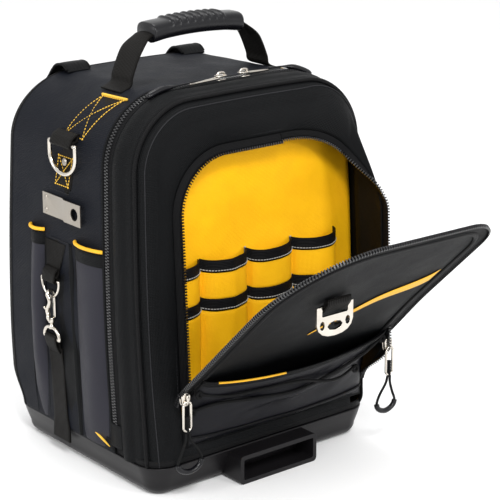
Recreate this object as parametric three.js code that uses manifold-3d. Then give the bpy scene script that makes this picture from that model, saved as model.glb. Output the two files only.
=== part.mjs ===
// Tool backpack standing on a moulded base tray, with its front flap folded open.
// Millimetres, +Z up, front towards -Y. The origin is the centre of the tray's underside.
import * as THREE from "three";
import { mergeVertices } from "three/addons/utils/BufferGeometryUtils.js";
import Module from "manifold-3d";

const wasm = await Module();
wasm.setup();

// Body: a box of cloth with a rounded front-view outline, narrower in depth towards the top
const BAG_WIDTH = 316;
const BAG_DEPTH = 276; // at the tray's rim
const BAG_TOP = 432;
const TOP_DEPTH_LOSS = 0.15; // share of the depth lost between the rim and the top
const SHOULDER_R = 75; // round of the two top corners, seen from the front
const EDGE_R_LOW = 28; // round of the upright edges at the rim
const EDGE_R = 24; // round of the edges higher up
const SIDE_BULGE = 4;
const TOP_CROWN = 4;
const TOP_FALL = 8; // the top is this much lower at the back than at the front
const WALL = 2;
const GAP = 0.3;
const MAIN_ZIP_S = -76; // depth at which the main zipper runs
const MAIN_ZIP_W = 17;
const SURFACE_LIFT = 0.35; // what is sewn on the cloth lies this far off it

// Base tray and the latch frame on its front
const TRAY_H = 36;
const TRAY_WALL = 3.5;
const TRAY_LEDGE = 1.5; // rim beyond the cloth
const TRAY_TAPER = 7;
const TRAY_BILGE_R = 14;
const LATCH_W = 111;
const LATCH_H = 34;
const LATCH_REACH = 22; // beyond the tray's rim
const LATCH_WALL = 5;

// Front pocket opening, its organizer and the flap that covers it when it is zipped
const OPENING_HALF_W = 117;
const OPENING_TOP = 381;
const LEFT_ZIP_FOOT = 105; // where the opening's left zipper starts
const OPENING_CORNER_R = 72;
const FLAP_ROOT_Z = 52;
const RIGHT_BAND_ROOT_X = 148; // the right band leaves the front here and flares forward
const RIGHT_BAND_FLARE = 42;
const RIGHT_BAND_RISE = 26; // above the flap's root
const RIGHT_BAND_DROP = 39; // below the opening's top
const RIGHT_ZIP_CLEAR = 9; // the zipper starts this far above its slider's middle
const ORGANIZER_S = -104;
const ORGANIZER_TOP = 402;
const LOOP_HALF_W = 132;
const LOOP_DEPTH = 15;
const LOOP_COUNT = 4;
const LOOP_BAND_H = 14;
const UPPER_LOOPS_TOP = 252;
const LOWER_LOOPS_TOP = 208;
const LOOP_CLOTH_H = 24;
const FLAP_LENGTH = 345;
const FLAP_UPRIGHT = 33; // length above the root that stays upright
const FLAP_BEND_R = 55;
const FLAP_LEAN = 46; // degrees from upright
const FLAP_CORNER_LEFT = 96; // rounding of its two free corners
const FLAP_CORNER_RIGHT = 42;
const FLAP_LEFT = 124;
const FLAP_RIGHT = 133;
const FLAP_RIGHT_FORWARD = 4; // the right edge sits this much nearer the viewer
const FLAP_CLEAR = 4; // between the flap's root and the right band
const FLAP_POCKET_L = 108;
const FLAP_POCKET_BULGE = 26;
const POCKET_SEAM_LIFT = 1.2;
const ZIP_TAPE_W = 9;
const ZIP_TAPE_T = 1.2;
const PIPING_R = 1.8;

// Webbing, handle and metal
const WEBBING_W = 38;
const WEBBING_T = 2;
const HANDLE_TOP = 503;
const HANDLE_S = -6;
const HANDLE_FOOT_A = 97; // the foot's place, round the outline from the top's middle
const HANDLE_TOE_L = 13;
const GRIP_CROWN = 4;
const GRIP_LENGTH = 124;
const GRIP_W = 34;
const PINCH_W = 28; // the webbing's width inside the grip
const GRIP_T = 12;
const GRIP_RIDGES = 8;
const GRIP_RIDGE_PITCH = 10;
const GRIP_RIDGE_H = 2.4;
const BAR_R = 2.4;
const LOOP_CLEAR = 0.6; // between a bar and the webbing that carries it
const D_RING_S = 12;
const D_RING_IN_W = 45; // clear width inside the ring
const D_RING_Z = 374;
const D_RING_REACH = 36;
const D_RING_STAND = 2.1;
const D_LOOP_TAIL = 15;
const D_LOOP_CLEAR = 1; // under the loop's tail, over the curved cloth
const CLIP_Z = 300;
const CLIP_S0 = 60;
const CLIP_S1 = -27;
const CLIP_H = 25;
const CLIP_T = 1.6;
const HOOK_S = 39;
const HOOK_STRAP_W = 27;
const REAR_POUCH_BESIDE = 20; // from the hook strap's middle to the rear pouch
const HOOK_BAR_Z = 215;
const HOOK_RING_W = 34;
const HOOK_RING_H = 20; // from its bar to its lowest point
const HOOK_TAB_W = 25;
const HOOK_WIRE_R = 1.6;
const HOOK_EYE_Z = 146;
const STRAP_END_Z = 20;
const POCKET_TOP = 266;
const FRONT_POUCH_W = 58;
const REAR_POUCH_W = 26;
const RIGHT_POUCH_GAP = 6; // between the right pouch and the round of the back edge
const POUCH_BULGE = 9;
const ACCESSORY_X = -26;
const ACCESSORY_T = 244; // along the flap, from its root
const ACCESSORY_W = 50;
const ACCESSORY_H = 34;
const ACCESSORY_T_PLATE = 3;
const BUNGEE_R = 2;
const PULL_CORD_R = 1.5;
const SLEEVE_R = 3.2;

// Back
const PAD_HALF_W = 86;
const PAD_T = 12;
const BACK_SWELL = 20; // how far the padded back stands out behind the tray
const SWELL_TO = 42; // its full depth starts this far over the rim
const PAD_BOTTOM = 78;
const PAD_TOP = 386;
const STRAP_W = 62;
const STRAP_T = 9;

// Colours
const BLACK_CLOTH = { color: 0x1f2123, roughness: 0.85, metalness: 0 };
const GREY_CLOTH = { color: 0x3e3e46, roughness: 0.9, metalness: 0 };
const YELLOW_CLOTH = { color: 0xf2b01c, roughness: 0.8, metalness: 0 };
const WEBBING = { color: 0x23211e, roughness: 0.75, metalness: 0 };
const RUBBER = { color: 0x1b1b1c, roughness: 0.6, metalness: 0 };
const TRAY_PLASTIC = { color: 0x2b2a2c, roughness: 0.5, metalness: 0 };
const NICKEL = { color: 0xc8beb4, roughness: 0.3, metalness: 1 };

const V = (x, y, z) => new THREE.Vector3(x, y, z);
const lerp = THREE.MathUtils.lerp;
const ease = THREE.MathUtils.smoothstep; // (value, start, end)
const QUARTER = Math.PI / 2;

const root = new THREE.Group();

function add(name, geometry, look) {
  const mesh = new THREE.Mesh(geometry, new THREE.MeshStandardMaterial(look));
  mesh.name = name;
  root.add(mesh);
}

// Booleans: a closed geometry becomes a solid, and a solid a geometry
function solidOf(geometry) {
  const bare = geometry.clone();
  bare.deleteAttribute("normal");
  bare.deleteAttribute("uv");
  const merged = mergeVertices(bare, 1e-4);
  const index = merged.index.array;
  const kept = [];
  for (let i = 0; i < index.length; i += 3) {
    const [a, b, c] = [index[i], index[i + 1], index[i + 2]];
    if (a !== b && b !== c && c !== a) kept.push(a, b, c);
  }
  return new wasm.Manifold(
    new wasm.Mesh({
      numProp: 3,
      vertProperties: merged.attributes.position.array,
      triVerts: new Uint32Array(kept),
    }),
  );
}

function geometryOf(solid) {
  const mesh = solid.getMesh();
  const geometry = new THREE.BufferGeometry();
  geometry.setAttribute("position", new THREE.BufferAttribute(mesh.vertProperties, 3));
  geometry.setIndex(new THREE.BufferAttribute(mesh.triVerts, 1));
  return geometry;
}

const join = (...parts) => geometryOf(parts.map(solidOf).reduce((all, one) => all.add(one)));
const cut = (blank, ...tools) =>
  geometryOf(tools.map(solidOf).reduce((left, tool) => left.subtract(tool), solidOf(blank)));

const overlap = (one, other) => geometryOf(solidOf(one).intersect(solidOf(other)));

function mesh(points, faces) {
  const geometry = new THREE.BufferGeometry();
  geometry.setFromPoints(points);
  geometry.setIndex(faces);
  return signedVolume(points, faces) < 0 ? flipped(geometry) : geometry;
}

function signedVolume(points, faces) {
  let sum = 0;
  for (let i = 0; i < faces.length; i += 3) {
    const [a, b, c] = [points[faces[i]], points[faces[i + 1]], points[faces[i + 2]]];
    sum += a.dot(b.clone().cross(c));
  }
  return sum;
}

function flipped(geometry) {
  const index = Array.from(geometry.index.array);
  for (let i = 0; i < index.length; i += 3) [index[i], index[i + 1]] = [index[i + 1], index[i]];
  geometry.setIndex(index);
  return geometry;
}

// A solid through sections, each a ring of as many points; flat ends unless the row closes
function loft(sections, { closed = false, cap = capFaces } = {}) {
  const n = sections[0].length;
  const points = sections.flat();
  const faces = [];
  const rows = closed ? sections.length : sections.length - 1;
  for (let i = 0; i < rows; i++) {
    const next = (i + 1) % sections.length;
    for (let j = 0; j < n; j++) {
      const k = (j + 1) % n;
      faces.push(i * n + j, i * n + k, next * n + k, i * n + j, next * n + k, next * n + j);
    }
  }
  if (!closed) {
    cap(sections[0]).forEach(([a, b, c]) => faces.push(c, b, a));
    const last = (sections.length - 1) * n;
    cap(sections.at(-1)).forEach(([a, b, c]) => faces.push(last + a, last + b, last + c));
  }
  return mesh(points, faces);
}

// Triangles over a ring in bands between its two halves
function bandFaces(ring) {
  const last = ring.length - 1;
  const faces = [];
  for (let i = 0; i < last - i; i++) {
    faces.push([i, last - i - 1, last - i]);
    if (i + 1 < last - i - 1) faces.push([i, i + 1, last - i - 1]);
  }
  return faces;
}

// Triangles over one ring, turned to run as the ring does
function capFaces(ring) {
  const normal = V(0, 0, 0);
  ring.forEach((p, i) => normal.add(p.clone().cross(ring[(i + 1) % ring.length])));
  const turn = new THREE.Quaternion().setFromUnitVectors(normal.normalize(), V(0, 0, 1));
  const flat = ring.map((p) => {
    const q = p.clone().applyQuaternion(turn);
    return new THREE.Vector2(q.x, q.y);
  });
  return THREE.ShapeUtils.triangulateShape(flat, []);
}

// A sheet of thickness: the points near(u, v) and far(u, v) over a grid of shares
function sheet(us, vs, near, far) {
  const layer = (at) => us.map((u) => vs.map((v) => at(u, v)));
  const [a, b] = [layer(near), layer(far)];
  const points = [...a.flat(), ...b.flat()];
  const [rows, columns] = [us.length, vs.length];
  const id = (side, i, j) => side * rows * columns + i * columns + j;
  const faces = [];
  const quad = (p, q, r, s) => faces.push(p, q, r, p, r, s);
  for (let i = 0; i < rows - 1; i++)
    for (let j = 0; j < columns - 1; j++) {
      quad(id(0, i, j), id(0, i + 1, j), id(0, i + 1, j + 1), id(0, i, j + 1));
      quad(id(1, i, j), id(1, i, j + 1), id(1, i + 1, j + 1), id(1, i + 1, j));
    }
  for (let i = 0; i < rows - 1; i++) {
    quad(id(0, i, 0), id(1, i, 0), id(1, i + 1, 0), id(0, i + 1, 0));
    quad(id(0, i, columns - 1), id(0, i + 1, columns - 1), id(1, i + 1, columns - 1), id(1, i, columns - 1));
  }
  for (let j = 0; j < columns - 1; j++) {
    quad(id(0, 0, j), id(0, 0, j + 1), id(1, 0, j + 1), id(1, 0, j));
    quad(id(0, rows - 1, j), id(1, rows - 1, j), id(1, rows - 1, j + 1), id(0, rows - 1, j + 1));
  }
  return mesh(points, faces);
}

const shares = (n) => Array.from({ length: n + 1 }, (_, i) => i / n);

// Round bars: an open one along a curve, and a closed flat loop
function circleShape(radius, sides) {
  return new THREE.Shape(
    Array.from({ length: sides }, (_, i) => {
      const angle = (2 * Math.PI * i) / sides;
      return new THREE.Vector2(radius * Math.cos(angle), radius * Math.sin(angle));
    }),
  );
}

function tube(points, radius, sides, steps) {
  const path = new THREE.CatmullRomCurve3(points, false, "centripetal");
  return new THREE.ExtrudeGeometry(circleShape(radius, sides), { steps, extrudePath: path });
}

function loopTube(points, planeNormal, radius, sides) {
  const n = points.length;
  return loft(
    points.map((p, i) => {
      const along = points[(i + 1) % n].clone().sub(points[(i + n - 1) % n]).normalize();
      const across = along.clone().cross(planeNormal);
      return Array.from({ length: sides }, (_, k) => {
        const angle = (2 * Math.PI * k) / sides;
        return p
          .clone()
          .addScaledVector(across, radius * Math.cos(angle))
          .addScaledVector(planeNormal, radius * Math.sin(angle));
      });
    }),
    { closed: true },
  );
}

function plate(shape, thickness, curveSegments = 6) {
  return new THREE.ExtrudeGeometry(shape, { depth: thickness, bevelEnabled: false, curveSegments })
    .translate(0, 0, -thickness / 2);
}

// Puts a shape's own axes along outward, up and their cross product, at a point
function placed(geometry, at, outward, up) {
  const across = outward.clone().cross(up);
  return geometry.applyMatrix4(new THREE.Matrix4().makeBasis(outward, up, across).setPosition(at));
}

function roundedRect(width, height, radius, x = 0, y = 0) {
  const [w, h] = [width / 2, height / 2];
  const shape = new THREE.Path();
  shape.moveTo(x - w + radius, y - h);
  shape.lineTo(x + w - radius, y - h);
  shape.absarc(x + w - radius, y - h + radius, radius, -QUARTER, 0);
  shape.absarc(x + w - radius, y + h - radius, radius, 0, QUARTER);
  shape.absarc(x - w + radius, y + h - radius, radius, QUARTER, 2 * QUARTER);
  shape.absarc(x - w + radius, y - h + radius, radius, 2 * QUARTER, 3 * QUARTER);
  return shape;
}

// The body's front-view outline, by the length a from the top's middle, to the right when
// positive. Stations lie on the true curve, and what is sewn on follows the chords between.
const HALF_W = BAG_WIDTH / 2;
const HALF_D = BAG_DEPTH / 2;
const TOP_FLAT = HALF_W - SHOULDER_R;
const SHOULDER_L = SHOULDER_R * QUARTER;
const SIDE_TOP_Z = BAG_TOP - SHOULDER_R;
const SIDE_START = TOP_FLAT + SHOULDER_L;
const OUTLINE_END = SIDE_START + SIDE_TOP_Z;
const sideAt = (z) => SIDE_START + SIDE_TOP_Z - z;

function outlineStation(length) {
  let [x, z, nx, nz] = [length, BAG_TOP, 0, 1];
  if (length > SIDE_START) [x, z, nx, nz] = [HALF_W, SIDE_TOP_Z - (length - SIDE_START), 1, 0];
  else if (length > TOP_FLAT) {
    const angle = (length - TOP_FLAT) / SHOULDER_R;
    [nx, nz] = [Math.sin(angle), Math.cos(angle)];
    [x, z] = [TOP_FLAT + SHOULDER_R * nx, SIDE_TOP_Z + SHOULDER_R * nz];
  }
  const height = THREE.MathUtils.clamp((z - TRAY_H) / (SIDE_TOP_Z - TRAY_H), 0, 1);
  x += SIDE_BULGE * Math.sin(Math.PI * height) * nx;
  z += TOP_CROWN * (1 - (x / HALF_W) ** 2) * nz;
  return { a: length, x, z, nx, nz };
}

const STATIONS = [
  ...shares(3).map((t) => t * TOP_FLAT),
  ...shares(6).slice(1).map((t) => TOP_FLAT + t * SHOULDER_L),
  ...shares(5).slice(1).map((t) => sideAt(lerp(SIDE_TOP_Z, TRAY_H + SWELL_TO, t))),
  ...[(TRAY_H + TRAY_H + SWELL_TO) / 2, TRAY_H, 0].map(sideAt),
].map(outlineStation);

function outlineAt(a, off = 0) {
  const length = Math.min(Math.abs(a), OUTLINE_END);
  let i = STATIONS.findIndex((s) => s.a >= length);
  i = Math.max(1, i);
  const [p, q] = [STATIONS[i - 1], STATIONS[i]];
  const t = (length - p.a) / (q.a - p.a);
  const x = lerp(p.x + off * p.nx, q.x + off * q.nx, t);
  const z = lerp(p.z + off * p.nz, q.z + off * q.nz, t);
  return { x: Math.sign(a) * x, z, base: lerp(p.z, q.z, t) };
}

const depthScale = (z) => 1 - (TOP_DEPTH_LOSS * (z - TRAY_H)) / (BAG_TOP - TRAY_H);

// The padded back stands out behind the tray
const swell = (z) => BACK_SWELL * ease(z, TRAY_H, TRAY_H + SWELL_TO);

// A point on the body's sides or top: a round the outline, depth s at the rim's scale
function skin(a, s, off) {
  const { x, z, base } = outlineAt(a, off);
  const height = THREE.MathUtils.clamp((base - SIDE_TOP_Z) / SHOULDER_R, 0, 1);
  const y = s * depthScale(base) + swell(base) * ease(s, 60, HALF_D);
  return V(x, y, z - TOP_FALL * height * (0.5 + s / BAG_DEPTH));
}

// The stations between two lengths, with both ends
function lengthsBetween(a0, a1) {
  const all = STATIONS.flatMap((s) => [s.a, -s.a]).filter((a) => a > a0 + 1 && a < a1 - 1);
  return [a0, ...new Set(all.sort((p, q) => p - q)), a1];
}

// A strip on the skin: its depth range may change along its length
function skinStrip(a0, a1, near, far, off0, off1) {
  return loft(
    lengthsBetween(a0, a1).map((a) => {
      const t = (a - a0) / (a1 - a0);
      const [s0, s1] = [near(t, a), far(t, a)];
      return [skin(a, s0, off0), skin(a, s1, off0), skin(a, s1, off1), skin(a, s0, off1)];
    }),
  );
}

// The body's closed form between two depths, whose ends may be rounded
const edgeRadius = (z) => lerp(EDGE_R_LOW, EDGE_R, ease(z, TRAY_H, TRAY_H + 100));
const EDGE_STEPS = 4;

function bodyForm({ front, back, roundFront, roundBack, off }) {
  const lengths = [...STATIONS.slice(1).reverse().map((s) => -s.a), ...STATIONS.map((s) => s.a)];
  const ring = (share, end, sign) =>
    lengths.map((a) => {
      const r = edgeRadius(outlineAt(a).base);
      const angle = share * QUARTER;
      const s = end - sign * (r - r * Math.sin(angle));
      const p = skin(a, s, off - r * (1 - Math.cos(angle)));
      return p;
    });
  const flatRing = (s) => lengths.map((a) => skin(a, s, off));
  const rings = [];
  if (roundFront) shares(EDGE_STEPS).reverse().forEach((t) => rings.push(ring(t, front, -1)));
  else rings.push(flatRing(front));
  if (roundBack) shares(EDGE_STEPS).forEach((t) => rings.push(ring(t, back, 1)));
  else rings.push(flatRing(back));
  return loft(rings, { cap: bandFaces });
}

const frontY = (z) => -HALF_D * depthScale(z);
const backY = (z) => HALF_D * depthScale(z) + swell(z);
const belowRim = () =>
  new THREE.BoxGeometry(4 * HALF_W, 4 * HALF_D, 2 * BAG_TOP).translate(0, 0, TRAY_H + GAP - BAG_TOP);

// Opening in the front, wider on the right where the band flares
function openingShape() {
  const shape = new THREE.Shape();
  const top = OPENING_TOP;
  const r = OPENING_CORNER_R;
  const rightCentre = OPENING_HALF_W - r;
  shape.moveTo(-OPENING_HALF_W, FLAP_ROOT_Z);
  shape.lineTo(RIGHT_BAND_ROOT_X, FLAP_ROOT_Z);
  shape.lineTo(RIGHT_BAND_ROOT_X, top - r);
  shape.absellipse(rightCentre, top - r, RIGHT_BAND_ROOT_X - rightCentre, r, 0, QUARTER);
  shape.absarc(-OPENING_HALF_W + r, top - r, r, QUARTER, 2 * QUARTER);
  return shape;
}

function makeShells() {
  const seam = MAIN_ZIP_S;
  const frontOuter = { front: -HALF_D, back: seam - GAP, roundFront: true, off: 0 };
  const frontInner = { front: -HALF_D + WALL, back: seam + 5, roundFront: true, off: -WALL };
  const opening = new THREE.ExtrudeGeometry(openingShape(), {
    depth: BAG_DEPTH / 4,
    bevelEnabled: false,
    curveSegments: 6,
  });
  opening.rotateX(QUARTER).translate(0, frontY(BAG_TOP) + EDGE_R, 0);
  add("front_shell", cut(bodyForm(frontOuter), bodyForm(frontInner), opening, belowRim()), BLACK_CLOTH);
  const rearOuter = { front: seam + GAP, back: HALF_D, roundBack: true, off: 0 };
  const rearInner = { front: seam - 5, back: HALF_D - WALL, roundBack: true, off: -WALL };
  add("rear_shell", cut(bodyForm(rearOuter), bodyForm(rearInner), belowRim()), BLACK_CLOTH);
  const zipEnd = sideAt(TRAY_H + 12);
  add(
    "main_zipper",
    skinStrip(
      -zipEnd,
      zipEnd,
      () => MAIN_ZIP_S - MAIN_ZIP_W / 2,
      () => MAIN_ZIP_S + MAIN_ZIP_W / 2,
      SURFACE_LIFT,
      SURFACE_LIFT + ZIP_TAPE_T,
    ),
    BLACK_CLOTH,
  );
}

// Tray: rounded-rectangle rings down the outside and up the inside
function trayRing(inset, z) {
  const [w, d] = [HALF_W + TRAY_LEDGE - inset, HALF_D + TRAY_LEDGE - inset];
  const r = Math.max(EDGE_R_LOW + TRAY_LEDGE - inset, 8);
  const corners = [[1, 1, 0], [-1, 1, 1], [-1, -1, 2], [1, -1, 3]];
  return corners.flatMap(([sx, sy, turn]) =>
    shares(5).map((t) => {
      const angle = (turn + t) * QUARTER;
      return V(sx * (w - r) + r * Math.cos(angle), sy * (d - r) + r * Math.sin(angle), z);
    }),
  );
}

function trayOutside(grow) {
  const bilge = TRAY_BILGE_R;
  const rows = shares(3).map((t) => [
    TRAY_TAPER + bilge * (1 - Math.sin(t * QUARTER)) - grow,
    bilge * (1 - Math.cos(t * QUARTER)),
  ]);
  return [...rows.map(([inset, z]) => trayRing(inset, z)), trayRing(-grow, TRAY_H)];
}

function makeTray() {
  const inner = [
    trayRing(TRAY_WALL, TRAY_H),
    trayRing(TRAY_TAPER + TRAY_WALL, TRAY_BILGE_R),
    trayRing(TRAY_TAPER + TRAY_BILGE_R, TRAY_WALL),
  ];
  add("base_tray", loft([...trayOutside(0), ...inner]), TRAY_PLASTIC);
  const shape = new THREE.Shape(roundedRect(LATCH_W, LATCH_H, 5, 0, LATCH_H / 2).getPoints(4));
  shape.holes.push(roundedRect(LATCH_W - 2 * LATCH_WALL, LATCH_H - 2 * LATCH_WALL, 2, 0, LATCH_H / 2));
  const deep = LATCH_REACH + TRAY_TAPER + TRAY_BILGE_R;
  const frame = plate(shape, deep, 2).rotateX(QUARTER);
  frame.translate(0, -HALF_D - TRAY_LEDGE - LATCH_REACH + deep / 2, 0.2);
  add("latch_frame", cut(frame, loft(trayOutside(GAP))), TRAY_PLASTIC);
}

// Organizer inside the front pocket: a panel and two rows of tool loops with bound tops
function makeOrganizer() {
  const off = -WALL - GAP;
  const inside = bodyForm({ front: -HALF_D - off, back: MAIN_ZIP_S, roundFront: true, off });
  const slab = bodyForm({ front: ORGANIZER_S - WALL, back: ORGANIZER_S, off: 0 });
  const above = new THREE.BoxGeometry(4 * HALF_W, 4 * HALF_D, BAG_TOP);
  above.translate(0, 0, ORGANIZER_TOP + BAG_TOP / 2);
  add("organizer_panel", cut(overlap(inside, slab), belowRim(), above), YELLOW_CLOTH);
  const panelY = (z) => (ORGANIZER_S - WALL) * depthScale(z) - GAP;
  const columns = shares(LOOP_COUNT * 4);
  const bulge = (u) => LOOP_DEPTH * Math.abs(Math.sin(Math.PI * LOOP_COUNT * u)) ** 0.7;
  const row = (z0, z1) => {
    const at = (thick) => (u, v) => {
      const z = lerp(z0, z1, v);
      return V(lerp(-LOOP_HALF_W, LOOP_HALF_W, u), panelY(z) - bulge(u) - thick, z);
    };
    return sheet(columns, [0, 1], at(0), at(WALL));
  };
  const rows = { upper: UPPER_LOOPS_TOP, lower: LOWER_LOOPS_TOP };
  for (const [name, top] of Object.entries(rows)) {
    const foot = top - LOOP_BAND_H - LOOP_CLOTH_H + 10;
    add(`tool_loops_${name}`, row(foot, top - LOOP_BAND_H - GAP), YELLOW_CLOTH);
    add(`loop_band_${name}`, row(top - LOOP_BAND_H, top), BLACK_CLOTH);
  }
}

// Flap: t runs along it from its root, n out of its outer face
function flapLine(t) {
  const lean = THREE.MathUtils.degToRad(FLAP_LEAN);
  const angle = THREE.MathUtils.clamp((t - FLAP_UPRIGHT) / FLAP_BEND_R, 0, lean);
  const rest = Math.max(0, t - FLAP_UPRIGHT - FLAP_BEND_R * lean);
  const upright = Math.min(t, FLAP_UPRIGHT);
  return {
    y: frontY(FLAP_ROOT_Z) - FLAP_BEND_R * (1 - Math.cos(angle)) - rest * Math.sin(angle),
    z: FLAP_ROOT_Z + GAP + upright + FLAP_BEND_R * Math.sin(angle) + rest * Math.cos(angle),
    angle,
  };
}

function flapPoint(x, t, n) {
  const { y, z, angle } = flapLine(t);
  const across = (x + FLAP_LEFT) / (FLAP_LEFT + FLAP_RIGHT);
  const forward = FLAP_RIGHT_FORWARD * across * ease(t, 0, 80);
  return V(x, y - forward - n * Math.cos(angle), z - n * Math.sin(angle));
}

function flapEdges(t) {
  const inset = (r) => r * (1 - Math.sqrt(1 - cornerShare(t, r) ** 2));
  const left = lerp(OPENING_HALF_W - 2 * GAP, FLAP_LEFT, ease(t, FLAP_UPRIGHT, 95));
  const right = lerp(RIGHT_BAND_ROOT_X - FLAP_CLEAR, FLAP_RIGHT, ease(t, 80, 200));
  return [inset(FLAP_CORNER_LEFT) - left, right - inset(FLAP_CORNER_RIGHT)];
}

// How far round a free corner of radius r the length t lies
const cornerShare = (t, r) => Math.min(1, Math.max(0, t - (FLAP_LENGTH - r)) / r);

const FLAP_ROWS = [
  0, FLAP_UPRIGHT, FLAP_UPRIGHT + 15, FLAP_UPRIGHT + 30, FLAP_UPRIGHT + 45, FLAP_UPRIGHT + 68,
  FLAP_UPRIGHT + 92, FLAP_LENGTH * 0.5, FLAP_LENGTH * 0.66,
  ...shares(6).map((k) => FLAP_LENGTH - FLAP_CORNER_LEFT * (1 - Math.sin(k * QUARTER * 0.97))),
];

function makeFlap() {
  const at = (n) => (t, u) => {
    const [left, right] = flapEdges(t);
    return flapPoint(lerp(left, right, u), t, n);
  };
  add("front_flap", sheet(FLAP_ROWS, shares(6), at(-WALL), at(0)), BLACK_CLOTH);
  const path = flapEdgePath();
  const tape = path.map(({ x, t, dx, dt }) => {
    const corner = (reach, n) => flapPoint(x + dx * reach, t + dt * reach, n);
    const [far, thick] = [ZIP_TAPE_W, ZIP_TAPE_T];
    return [corner(GAP, -thick), corner(far, -thick), corner(far, 0), corner(GAP, 0)];
  });
  add("flap_zipper", loft(tape), BLACK_CLOTH);
}

// The flap's free edge from lower left to lower right, with the direction out of it
function flapEdgePath() {
  const start = FLAP_UPRIGHT + 92;
  const rows = FLAP_ROWS.filter((t) => t >= start);
  const side = (sign) =>
    rows.map((t) => {
      const angle = Math.asin(cornerShare(t, sign < 0 ? FLAP_CORNER_LEFT : FLAP_CORNER_RIGHT));
      const [left, right] = flapEdges(t);
      return { x: sign < 0 ? left : right, t, dx: sign * Math.cos(angle), dt: Math.sin(angle) };
    });
  return [...side(-1), ...side(1).reverse()];
}

const pocketBulge = (u, v) =>
  FLAP_POCKET_BULGE * Math.sin(Math.PI * u) ** 0.6 * Math.sin(Math.PI * (0.12 + 0.68 * v)) ** 0.8;

function flapPocketPoint(u, v, lift) {
  const t = lerp(3, FLAP_POCKET_L, v);
  const [left, right] = flapEdges(t);
  const rise = v === 0 ? 0 : pocketBulge(u, v);
  return flapPoint(lerp(left + 3, right - 3, u), t, POCKET_SEAM_LIFT + rise + lift);
}

function makeFlapPocket() {
  const [columns, rows] = [shares(10), [0, 0.08, 0.2, 0.36, 0.52, 0.68, 0.84, 1]];
  const at = (lift) => (v, u) => flapPocketPoint(u, v, lift);
  add("flap_pocket", sheet(rows, columns, at(0), at(WALL)), BLACK_CLOTH);
  const edge = shares(10).map((u) => flapPocketPoint(u, 1, WALL / 2));
  const along = V(0, -Math.sin(flapLine(FLAP_POCKET_L).angle), Math.cos(flapLine(FLAP_POCKET_L).angle));
  edge.forEach((p) => p.addScaledVector(along, PIPING_R + GAP));
  add("flap_pocket_piping", tube(edge, PIPING_R, 5, 14), YELLOW_CLOTH);
}

// Zipper tape round the pocket's opening; on the right the band flares forward and carries it
const FLARE_TOP_Z = OPENING_TOP - OPENING_CORNER_R * 0.35;
const flareShare = (z) => ease(z, FLAP_ROOT_Z + 15, 130) * (1 - ease(z, FLARE_TOP_Z - 70, FLARE_TOP_Z));
const bandRoot = (z) => V(openingRight(z) + GAP, frontY(z) + 1, z);
const bandTip = (z) => {
  const f = flareShare(z);
  return V(openingRight(z) - 3 * f, frontY(z) - 1 - RIGHT_BAND_FLARE * f, z);
};

// The right side of the opening cut in the front
function openingRight(z) {
  const over = Math.max(0, z - (OPENING_TOP - OPENING_CORNER_R)) / OPENING_CORNER_R;
  const round = 1 - Math.sqrt(1 - Math.min(1, over) ** 2);
  return RIGHT_BAND_ROOT_X - (RIGHT_BAND_ROOT_X - OPENING_HALF_W + OPENING_CORNER_R) * round;
}

function makeRightBand() {
  const at = (side) => (t, v) => {
    const z = lerp(FLAP_ROOT_Z + RIGHT_BAND_RISE, OPENING_TOP - RIGHT_BAND_DROP, t);
    const [from, to] = [bandRoot(z), bandTip(z)];
    const p = from.clone().lerp(to, v);
    p.x += side * WALL + 3 * Math.sin(Math.PI * v) * flareShare(z);
    p.y -= GAP * 3;
    return p;
  };
  add("pocket_band_right", sheet(shares(12), [0, 0.35, 0.7, 1], at(-0.5), at(0.5)), BLACK_CLOTH);
}

const zipSection = (p, inward, normal) => {
  const at = (reach, thick) => p.clone().addScaledVector(inward, reach).addScaledVector(normal, thick);
  return [at(GAP, 0), at(ZIP_TAPE_W, 0), at(ZIP_TAPE_W, ZIP_TAPE_T), at(GAP, ZIP_TAPE_T)];
};

function makePocketZippers() {
  const r = OPENING_CORNER_R;
  const out = V(0, 1, 0);
  const rise = OPENING_TOP - r - LEFT_ZIP_FOOT;
  const left = shares(5).map((t) => [-OPENING_HALF_W, LEFT_ZIP_FOOT + t * rise, V(1, 0, 0)]);
  const corner = shares(6).slice(1).map((t) => {
    const [c, k] = [Math.cos(t * QUARTER), Math.sin(t * QUARTER)];
    return [-OPENING_HALF_W + r - r * c, OPENING_TOP - r + r * k, V(c, 0, -k)];
  });
  const top = [[0, OPENING_TOP, V(0, 0, -1)], [OPENING_HALF_W - r, OPENING_TOP, V(0, 0, -1)]];
  const path = [...left, ...corner, ...top];
  const sections = path.map(([x, z, inward]) => zipSection(V(x, frontY(z), z), inward, out));
  add("pocket_zipper_left", loft(sections), BLACK_CLOTH);
  const [low, high] = [FLAP_ROOT_Z + RIGHT_PULL_RISE + RIGHT_ZIP_CLEAR, OPENING_TOP - RIGHT_BAND_DROP];
  const zs = shares(9).map((t) => lerp(low, high, t));
  const right = zs.map((z) => zipSection(bandTip(z).add(V(0, -1.6, 0)), V(0, -1, 0), V(-1, 0, 0)));
  add("pocket_zipper_right", loft(right), BLACK_CLOTH);
}

// Webbing, loops and metal rings
// The webbing's end folded round a bar of the given radius, with a tail along the cloth.
// Its own axes: X out of the cloth, Y along the webbing towards the tail, Z along the bar.
function webbingLoop(width, barR, standOff, tail) {
  const inner = barR + LOOP_CLEAR;
  const outer = inner + WEBBING_T;
  const shape = new THREE.Shape();
  shape.absarc(0, 0, outer, Math.PI, 2 * Math.PI);
  shape.lineTo(outer * 0.8, outer * 0.9);
  shape.lineTo(-standOff + 2 * WEBBING_T, tail);
  shape.lineTo(-standOff, tail);
  shape.lineTo(-standOff, outer);
  const hole = new THREE.Path();
  hole.absarc(0, 0, inner, 0, 2 * Math.PI);
  shape.holes.push(hole);
  return plate(shape, width, 5);
}

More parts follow.
